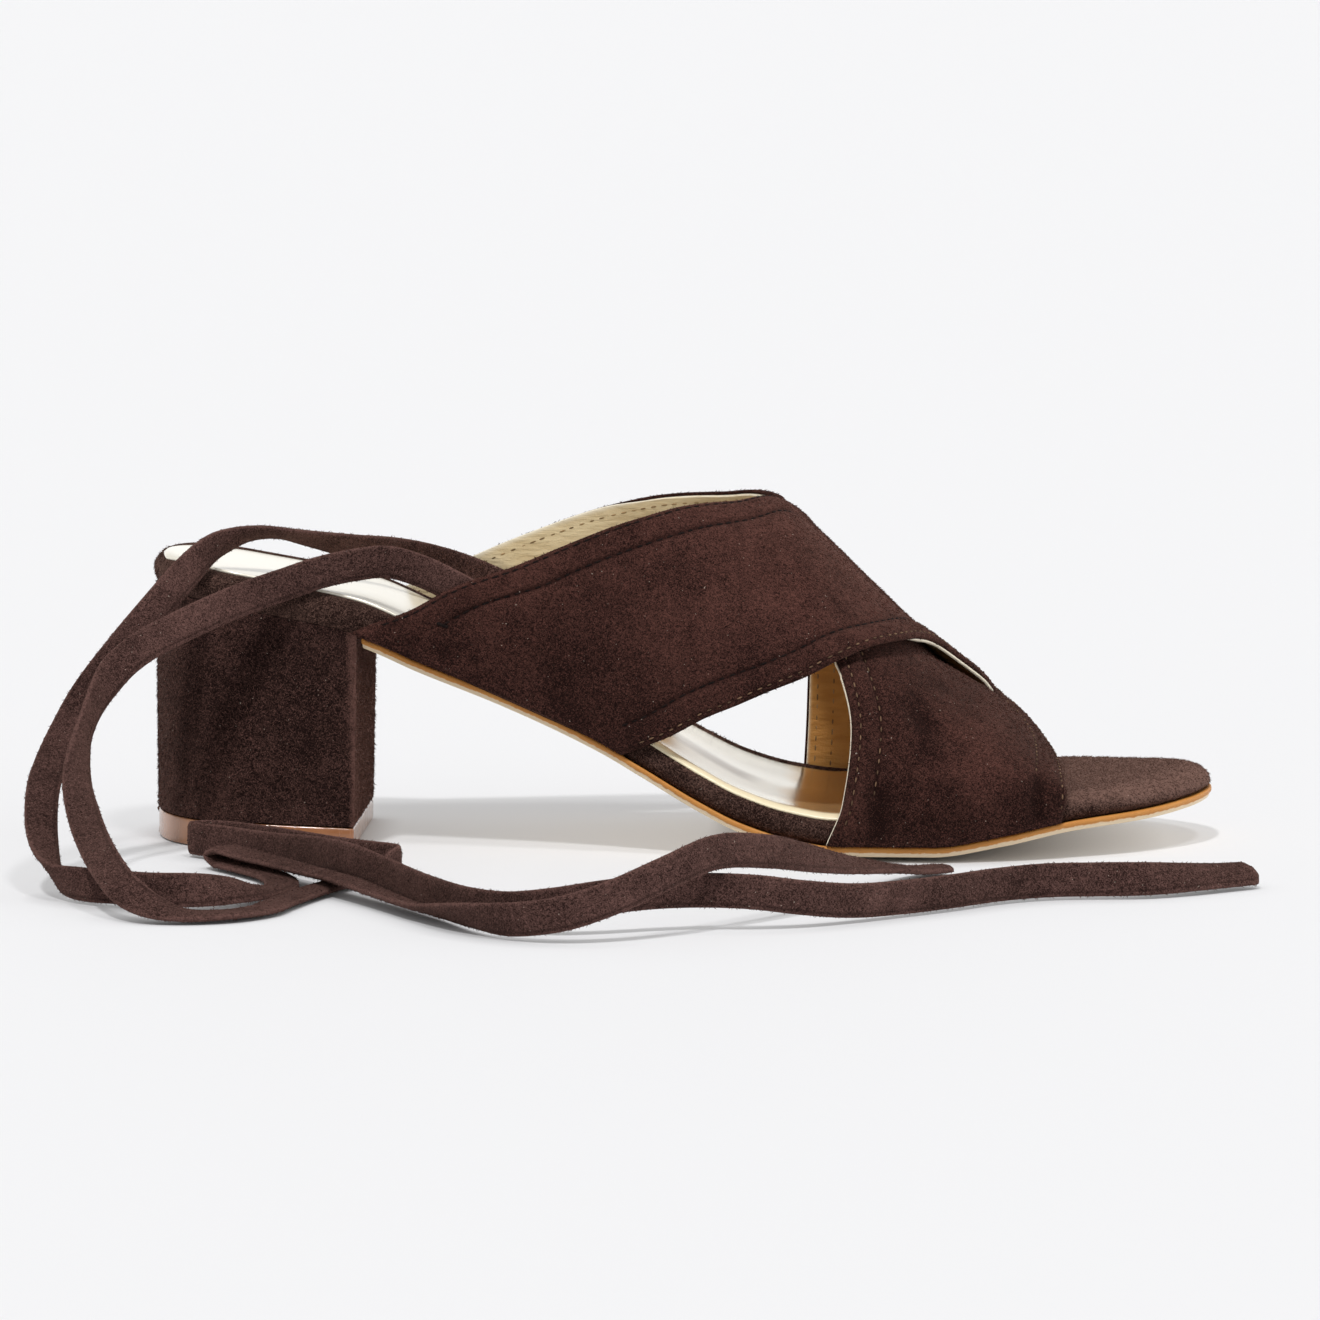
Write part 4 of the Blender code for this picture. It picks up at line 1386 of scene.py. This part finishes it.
def lift_height(station):
    """Height of the top lift's upper face."""
    return LIFT_BACK + (LIFT_BREAST - LIFT_BACK) * station / HEEL_BREAST_FOOT


def draw_in(plan, breast, share):
    """A plan drawn towards the heel's middle."""
    return np.stack((plan[:, 0] + (breast / 2 - plan[:, 0]) * share * 0.6, plan[:, 1] * (1 - share)), axis=1)


def lay_floor(stage):
    """A wide pale floor that glows with a painted fill light of its own, which fades to a painted contact shadow
    close under the shoe.
    """
    bpy.ops.object.select_all(action="DESELECT")
    bpy.ops.mesh.primitive_plane_add(size=FLOOR_SIZE, location=(0, 0, FLOOR_HEIGHT))
    floor = bpy.context.object
    floor.name = "studio_floor"
    made, tree, shader = new_finish("studio_floor")
    shader.inputs["Base Color"].default_value = colour("floor")
    # Painted contact shadow: the glow fades where the floor is close under the shoe.
    near = add_node(tree, "ShaderNodeAmbientOcclusion", Distance=PAINTED_CONTACT_SHADOW_REACH)
    near.samples = 3
    pale = blend(tree, near.outputs["AO"], (0.0, 0.0, 0.0, 1.0), (0.99, 0.985, 0.98, 1.0))
    tree.links.new(pale, shader.inputs["Emission Color"])
    shader.inputs["Emission Strength"].default_value = stage.glow
    shader.inputs["Roughness"].default_value = 0.7
    shader.inputs["Specular IOR Level"].default_value = 0.15
    floor.data.materials.append(made)


def light_backdrop(scene, stage):
    """Fill light, a pale band at the horizon that is brighter behind the shoe, and a soft light at the toe."""
    world = bpy.data.worlds.new("studio")
    scene.world = world
    world.use_nodes = True
    tree = world.node_tree
    way = tree.nodes.new("ShaderNodeSeparateXYZ")
    tree.links.new(tree.nodes.new("ShaderNodeTexCoord").outputs["Generated"], way.inputs[0])
    along, across, up = way.outputs
    level = span(tree, maths(tree, "ABSOLUTE", up), 0.12, 0.42, 1.0, 0.0)
    side = maths(tree, "ADD", across, maths(tree, "MULTIPLY", along, 0.7))
    far = maths(tree, "ADD", maths(tree, "MULTIPLY", span(tree, side, -0.5, 0.5), 0.65), 0.35)
    backdrop = maths(tree, "MULTIPLY", maths(tree, "MULTIPLY", level, far), stage.backdrop)
    right = maths(tree, "MULTIPLY", span(tree, along, 0.4, 0.9), span(tree, up, 0.0, 0.8, 1.0, 0.0))
    strength = maths(tree, "ADD", backdrop, stage.fill)
    strength = maths(tree, "ADD", strength, maths(tree, "MULTIPLY", right, stage.right))
    tree.nodes["Background"].inputs["Color"].default_value = (0.985, 0.99, 1.0, 1.0)
    tree.links.new(strength, tree.nodes["Background"].inputs["Strength"])


def hang_suns(stage):
    """Two soft suns from above the camera."""
    for sun in SUNS:
        bpy.ops.object.light_add(type="SUN")
        light = bpy.context.object
        light.name = sun.name
        light.data.energy = stage.key * sun.share
        light.data.angle = math.radians(sun.spread)
        light.rotation_euler = Vector(sun.way).to_track_quat("-Z", "Y").to_euler()


def place_camera(scene):
    """The camera of the product view."""
    bpy.ops.object.camera_add()
    camera = bpy.context.object
    yaw, rise = math.radians(CAMERA_YAW), math.radians(CAMERA_RISE)
    away = Vector((math.cos(rise) * math.sin(yaw), -math.cos(rise) * math.cos(yaw), math.sin(rise)))
    camera.location = Vector(CAMERA_AIM) + CAMERA_DISTANCE * away
    camera.rotation_euler = (-away).to_track_quat("-Z", "Y").to_euler()
    camera.data.sensor_width = SENSOR_WIDTH
    camera.data.lens = SENSOR_WIDTH * PIXELS_PER_MM * (CAMERA_DISTANCE / MM) / FRAME_PIXELS
    camera.data.clip_end = 100.0
    scene.camera = camera


class MULE_OT_stage(bpy.types.Operator):
    """Pale floor, soft overhead light and the camera of the product view"""

    bl_idname = "mule.stage"
    bl_label = "Stage"

    def execute(self, context):
        stage = context.scene.mule_stage
        lay_floor(stage)
        light_backdrop(context.scene, stage)
        hang_suns(stage)
        place_camera(context.scene)
        context.scene.view_settings.view_transform = "Standard"
        return {"FINISHED"}


class MULE_OT_ties(bpy.types.Operator):
    """Two long flat suede ties lying on the floor"""

    bl_idname = "mule.ties"
    bl_label = "Ankle ties"

    def execute(self, context):
        make_tie("inner_tie_band", "inner_ankle_tie", INNER_TIE)
        make_tie("outer_tie_band", "outer_ankle_tie", OUTER_TIE)
        return {"FINISHED"}


class MULE_OT_straps(bpy.types.Operator):
    """Two wide suede straps that cross over the instep, lined and sewn along their edges"""

    bl_idname = "mule.straps"
    bl_label = "Straps"

    def execute(self, context):
        over = Strap(OVER_STRAP, over_rise, OVER_REAR_ROWS, OVER_FRONT_ROWS)
        under = Strap(UNDER_STRAP, under_dip, UNDER_REAR_ROWS, UNDER_FRONT_ROWS)
        share = over.around
        gape = size("edge_lift") * bump(over.front_gap, 7.0)
        gape = gape * ease((over.share - 0.2) / 0.07) * ease((0.59 - over.share) / 0.12)
        # Painted light: the upper strap is painted lighter towards its top and towards the toe, on a darker base
        # tone.
        over_tone_and_painted_light = 0.34 * ease((over.skin[..., 2] - 28) / 34) + 0.10 * ease((over.station - 100) / 50) - 0.26
        over_rear = np.where(share < 0.5, 1.1, 0.4)
        over_front = 1.3 - 1.65 * ease((share - 0.31) / 0.05) * ease((0.61 - share) / 0.05)
        over_sheets = make_strap(
            "over_strap", over, OVER_CREASES, OVER_GROOVE, gape, over_tone_and_painted_light, over_rear, over_front
        )
        # Painted highlights: a lit patch high on the lower strap's front, a lighter top, and a pale patch at its
        # lower rear corner, on a darker base tone.
        lit = bump(under.station - 180, 13) * bump(under.skin[..., 2] - 29, 11)
        under_tone_and_painted_light = 0.20 * lit + 0.10 * ease((under.skin[..., 2] - 8) / 14) - 0.30
        under_tone_and_painted_light += 0.25 * bump(under.station - 156, 4) * bump(under.skin[..., 2] - 9, 7)
        under_rear = 0.8 * ease((share - 0.46) / 0.1) - 0.2 - 0.75 * ease((share - 0.70) / 0.05)
        under_front = np.full(len(share), 0.4)
        flat = np.zeros(under.gap.shape)
        under_sheets = make_strap(
            "under_strap", under, UNDER_CREASES, UNDER_GROOVE, flat, under_tone_and_painted_light, under_rear, under_front
        )
        rows = {"dark": [], "tan": [], "lining": []}
        for strap, (face, back) in ((over, over_sheets), (under, under_sheets)):
            for edge in ("rear", "front"):
                for row in strap.rows[edge]:
                    rows[row.thread].append(sewn_line(strap, face, edge, row.gap, row.low, row.high))
                    line, out = sewn_line(strap, back, edge, max(row.gap, LINING_ROW_GAP))
                    rows["lining"].append((line, -out))
        for name, lines in rows.items():
            sew(name + "_stitches", lines, thread(name + "_thread"), STITCHES[name], size("stitch_pitch"))
        start = OVER_REAR_ROWS[1]
        across = []
        for gap in TACK_GAPS:
            line, out = sewn_line(over, over_sheets[0], "rear", start.gap + gap, start.low, start.low + 0.006)
            across.append((line[0], out[0]))
        tack = tuple(np.array(column) for column in zip(*across))
        sew("bartack", [tack], thread("dark_thread"), TACK, TACK_PITCH)
        return {"FINISHED"}


def shows_beside_sock(place, out):
    """Which faces of the footbed are seen: its sides, and the top of the toe."""
    side = (out[:, 2] < 0.85) & (out[:, 2] > -0.5)
    return side | (place[:, 0] > 74) & (out[:, 2] > 0)


class MULE_OT_footbed(bpy.types.Operator):
    """Padded footbed wrapped in suede, with its rounded rim"""

    bl_idname = "mule.footbed"
    bl_label = "Footbed"

    def execute(self, context):
        turn = np.linspace(0, 1, PAD_COLUMNS)
        ring, _ = ring_place(turn, 0.0)
        reach, drop = rim_size(ring)
        across = (0.05, 0.12, 0.22, 0.36, 0.55, 0.76, 1.0)
        rows = [(np.full(PAD_COLUMNS, inset), 0.0) for inset in (PAD_CENTRE, 24, 14, 8, 4, 2, 1.2)]
        rows += [(np.full(PAD_COLUMNS, 1.2 * (1 - h) ** 2.2), h) for h in (0.12, 0.28, 0.46, 0.64, 0.82)]
        rows += [(reach * (1 - math.sin(angle)), 1.0) for angle in np.linspace(math.pi / 2, 0, 15)]
        rows += [(reach + (PAD_CENTRE - reach) * share, 1.0) for share in across]
        sheet = []
        for inset, level in rows:
            station, side = ring_place(turn, inset)
            top = smooth(STATIONS, "pad", station) - rim_fall(ring, inset)
            top += ROLL_HEIGHT * bump(inset - ROLL_INSET, 1.2) * rolled(turn)
            height = (smooth(STATIONS, "pad", station) - drop) * level if level < 1 else top
            sheet.append(np.stack((station, side, underside(station, side) + height), axis=1))
        points = np.array(sheet)
        # Painted highlight: the top of the toe is painted lighter, on a darker base tone.
        brush = 0.92 * ease((points[..., 0] - 196) / 12) * ease((points[..., 2] - 9) / 6) - 0.22
        bed = shaped_grid("padded_footbed", to_model(points), suede("footbed_suede", "footbed"), {"brush": brush})
        settle(bed, "footbed")
        raise_nap(bed, "footbed_nap", FOOTBED_NAP, shows_beside_sock)
        return {"FINISHED"}


class MULE_OT_sock(bpy.types.Operator):
    """Metallic leather sock laid on the footbed, turned down over its rim"""

    bl_idname = "mule.sock"
    bl_label = "Sock"

    def execute(self, context):
        reach = ring_turn(SOCK_FRONT)
        turn = np.linspace(-reach, reach, SOCK_COLUMNS)
        turn = np.where(turn < 0, turn + 1, turn)
        sheet = []
        seat = ease((105 - ring_station(turn)) / 40)
        near = 1.0 + np.maximum(2.8 * rolled(turn), 3.2 * seat * ease(turn / 0.05 - 0.4) * (turn < 0.5))
        rims = []
        close_rows = (0.0, 0.012, 0.03, 0.05, 0.075, 0.105, 0.14, 0.19)
        wide_rows = (0.26, 0.34, 0.44, 0.55, 0.66, 0.77, 0.88, 1.0)
        for share in close_rows + wide_rows:
            inset = near + (PAD_CENTRE - near) * share
            station, side = ring_place(turn, inset)
            top = underside(station, side) + smooth(STATIONS, "pad", station) - rim_fall(station, inset)
            sheet.append(np.stack((station, side, top + SOCK_LIFT), axis=1))
            rims.append(np.where(turn < 0.5, ease((4.2 - inset) / 1.6), 0.0) * (1 - seat))
        marks = {"rim": np.array(rims)}
        sock = shaped_grid("metallic_sock", to_model(np.array(sheet)), sock_leather(), marks, close=False)
        if sock.data.polygons[len(sock.data.polygons) // 2].normal.z < 0:
            sock.data.flip_normals()
        finish_with(sock, "SOLIDIFY", thickness=SOCK_THICKNESS * MM, offset=-1.0)
        settle(sock, "insole_sock")
        return {"FINISHED"}


class MULE_OT_outsole(bpy.types.Operator):
    """Leather outsole with a stained edge"""

    bl_idname = "mule.outsole"
    bl_label = "Outsole"

    def execute(self, context):
        back = ring_turn(OUTSOLE_BACK)
        turn = np.linspace(back, 1 - back, OUTSOLE_COLUMNS)
        rows = [(inset, 0.0) for inset in (PAD_CENTRE, 24, 14, 7, 3, 1.2, 0.5)]
        rows += [(0.2, 0.06), (0.05, 0.18), (0.0, 0.32), (-0.1, 0.42), (-0.35, 0.5)]
        rows += [(-0.4, 0.62), (-0.4, 0.76), (-0.35, 0.88), (-0.15, 0.97)]
        rows += [(inset, 1.0) for inset in (0.2, 1.0, 3, 8, 16, PAD_CENTRE)]
        sheet = []
        for inset, level in rows:
            station, side = ring_place(turn, inset, OUTSOLE_GROW)
            top = underside(station, side) - CLEARANCE
            sheet.append(np.stack((station, side, top - OUTSOLE_THICKNESS * (1 - level)), axis=1))
        level = np.array([row[1] for row in rows])[:, None]
        sole = shaped_grid("leather_outsole", to_model(np.array(sheet)), sole_leather(), {"level": level})
        settle(sole, "outsole")
        return {"FINISHED"}


class MULE_OT_heel(bpy.types.Operator):
    """Suede-covered block heel"""

    bl_idname = "mule.heel"
    bl_label = "Heel"

    def execute(self, context):
        sheet = []
        for level in np.linspace(0, 1, HEEL_ROWS):
            breast = HEEL_BREAST_FOOT + (HEEL_BREAST_TOP - HEEL_BREAST_FOOT) * level
            plan = heel_plan(HEEL_COLUMNS, breast, HEEL_INSET_FOOT + (HEEL_INSET_TOP - HEEL_INSET_FOOT) * level)
            foot = lift_height(plan[:, 0]) + CLEARANCE
            seat = underside(plan[:, 0], plan[:, 1]) - SEAT_CLEARANCE
            height = foot + (seat - foot) * level
            dent = 0.5 * bump((plan[:, 0] - 8 - (height - 22) * 0.36), 5.0) * bump(height - 30, 16)
            side = plan[:, 1] - np.sign(plan[:, 1]) * dent * ease((np.abs(plan[:, 1]) - 6) / 12)
            sheet.append(np.stack((plan[:, 0], side, height), axis=1))
        caps = []
        for end in (sheet[0], sheet[-1]):
            drawn = []
            for share in (0.12, 0.5, 1.0):
                plan = draw_in(end[:, :2], HEEL_BREAST_FOOT, share)
                if end is sheet[0]:
                    height = lift_height(plan[:, 0]) + CLEARANCE
                else:
                    height = underside(plan[:, 0], plan[:, 1]) - SEAT_CLEARANCE
                drawn.append(np.stack((plan[:, 0], plan[:, 1], height), axis=1))
            caps.append(drawn)
        points = np.array(caps[0][::-1] + sheet + caps[1])
        # Painted light: the breast face is painted lighter, as if lit from the side, on a darker base tone.
        brush = -0.24 + 0.95 * ease((points[..., 0] - 45.2) / 1.2)
        heel = shaped_grid("heel_cover", to_model(points), suede("heel_suede", "heel"), {"brush": brush})
        round_edges(heel, HEEL_BEVEL)
        settle(heel, "heel_block")
        raise_nap(heel, "heel_nap", HEEL_NAP, lambda place, out: np.abs(out[:, 2]) < 0.6)
        return {"FINISHED"}


class MULE_OT_top_lift(bpy.types.Operator):
    """Glossy walking piece under the heel"""

    bl_idname = "mule.top_lift"
    bl_label = "Top lift"

    def execute(self, context):
        plan = heel_plan(HEEL_COLUMNS, HEEL_BREAST_FOOT, HEEL_INSET_FOOT)
        rows = []
        foot_rows = ((1.0, 0.0), (0.5, 0.0), (0.1, 0.0), (0.0, 0.0))
        side_rows = ((0.0, 0.35), (0.0, 0.7), (0.0, 1.0), (0.1, 1.0), (1.0, 1.0))
        for draw, level in foot_rows + side_rows:
            drawn = draw_in(plan, HEEL_BREAST_FOOT, draw)
            rows.append(np.stack((drawn[:, 0], drawn[:, 1], lift_height(drawn[:, 0]) * level), axis=1))
        lift = shaped_grid("glossy_top_lift", to_model(np.array(rows)), lift_gloss())
        round_edges(lift, LIFT_BEVEL)
        settle(lift, "heel_top_lift")
        return {"FINISHED"}


class MULE_PT_builder(bpy.types.Panel):
    """Builds the mule piece by piece"""

    bl_label = "Crossed-strap mule"
    bl_idname = "MULE_PT_builder"
    bl_space_type = "VIEW_3D"
    bl_region_type = "UI"
    bl_category = "Mule"

    def draw(self, context):
        for operator in OPERATORS:
            self.layout.operator(operator.bl_idname)
        for group in (context.scene.mule_sizes, context.scene.mule_colours, context.scene.mule_stage):
            box = self.layout.box()
            for name in group.__annotations__:
                box.prop(group, name)


OPERATORS = (
    MULE_OT_stage,
    MULE_OT_ties,
    MULE_OT_straps,
    MULE_OT_footbed,
    MULE_OT_sock,
    MULE_OT_outsole,
    MULE_OT_heel,
    MULE_OT_top_lift,
)
CLASSES = (MuleSizes, MuleColours, MuleStage, *OPERATORS, MULE_PT_builder)


def register():
    for kind in CLASSES:
        bpy.utils.register_class(kind)
    bpy.types.Scene.mule_sizes = bpy.props.PointerProperty(type=MuleSizes)
    bpy.types.Scene.mule_colours = bpy.props.PointerProperty(type=MuleColours)
    bpy.types.Scene.mule_stage = bpy.props.PointerProperty(type=MuleStage)


def unregister():
    del bpy.types.Scene.mule_stage
    del bpy.types.Scene.mule_colours
    del bpy.types.Scene.mule_sizes
    for kind in reversed(CLASSES):
        bpy.utils.unregister_class(kind)


def main():
    register()
    bpy.ops.mule.stage()
    bpy.ops.mule.ties()
    bpy.ops.mule.straps()
    bpy.ops.mule.footbed()
    bpy.ops.mule.sock()
    bpy.ops.mule.outsole()
    bpy.ops.mule.heel()
    bpy.ops.mule.top_lift()


if __name__ == "__main__":
    main()
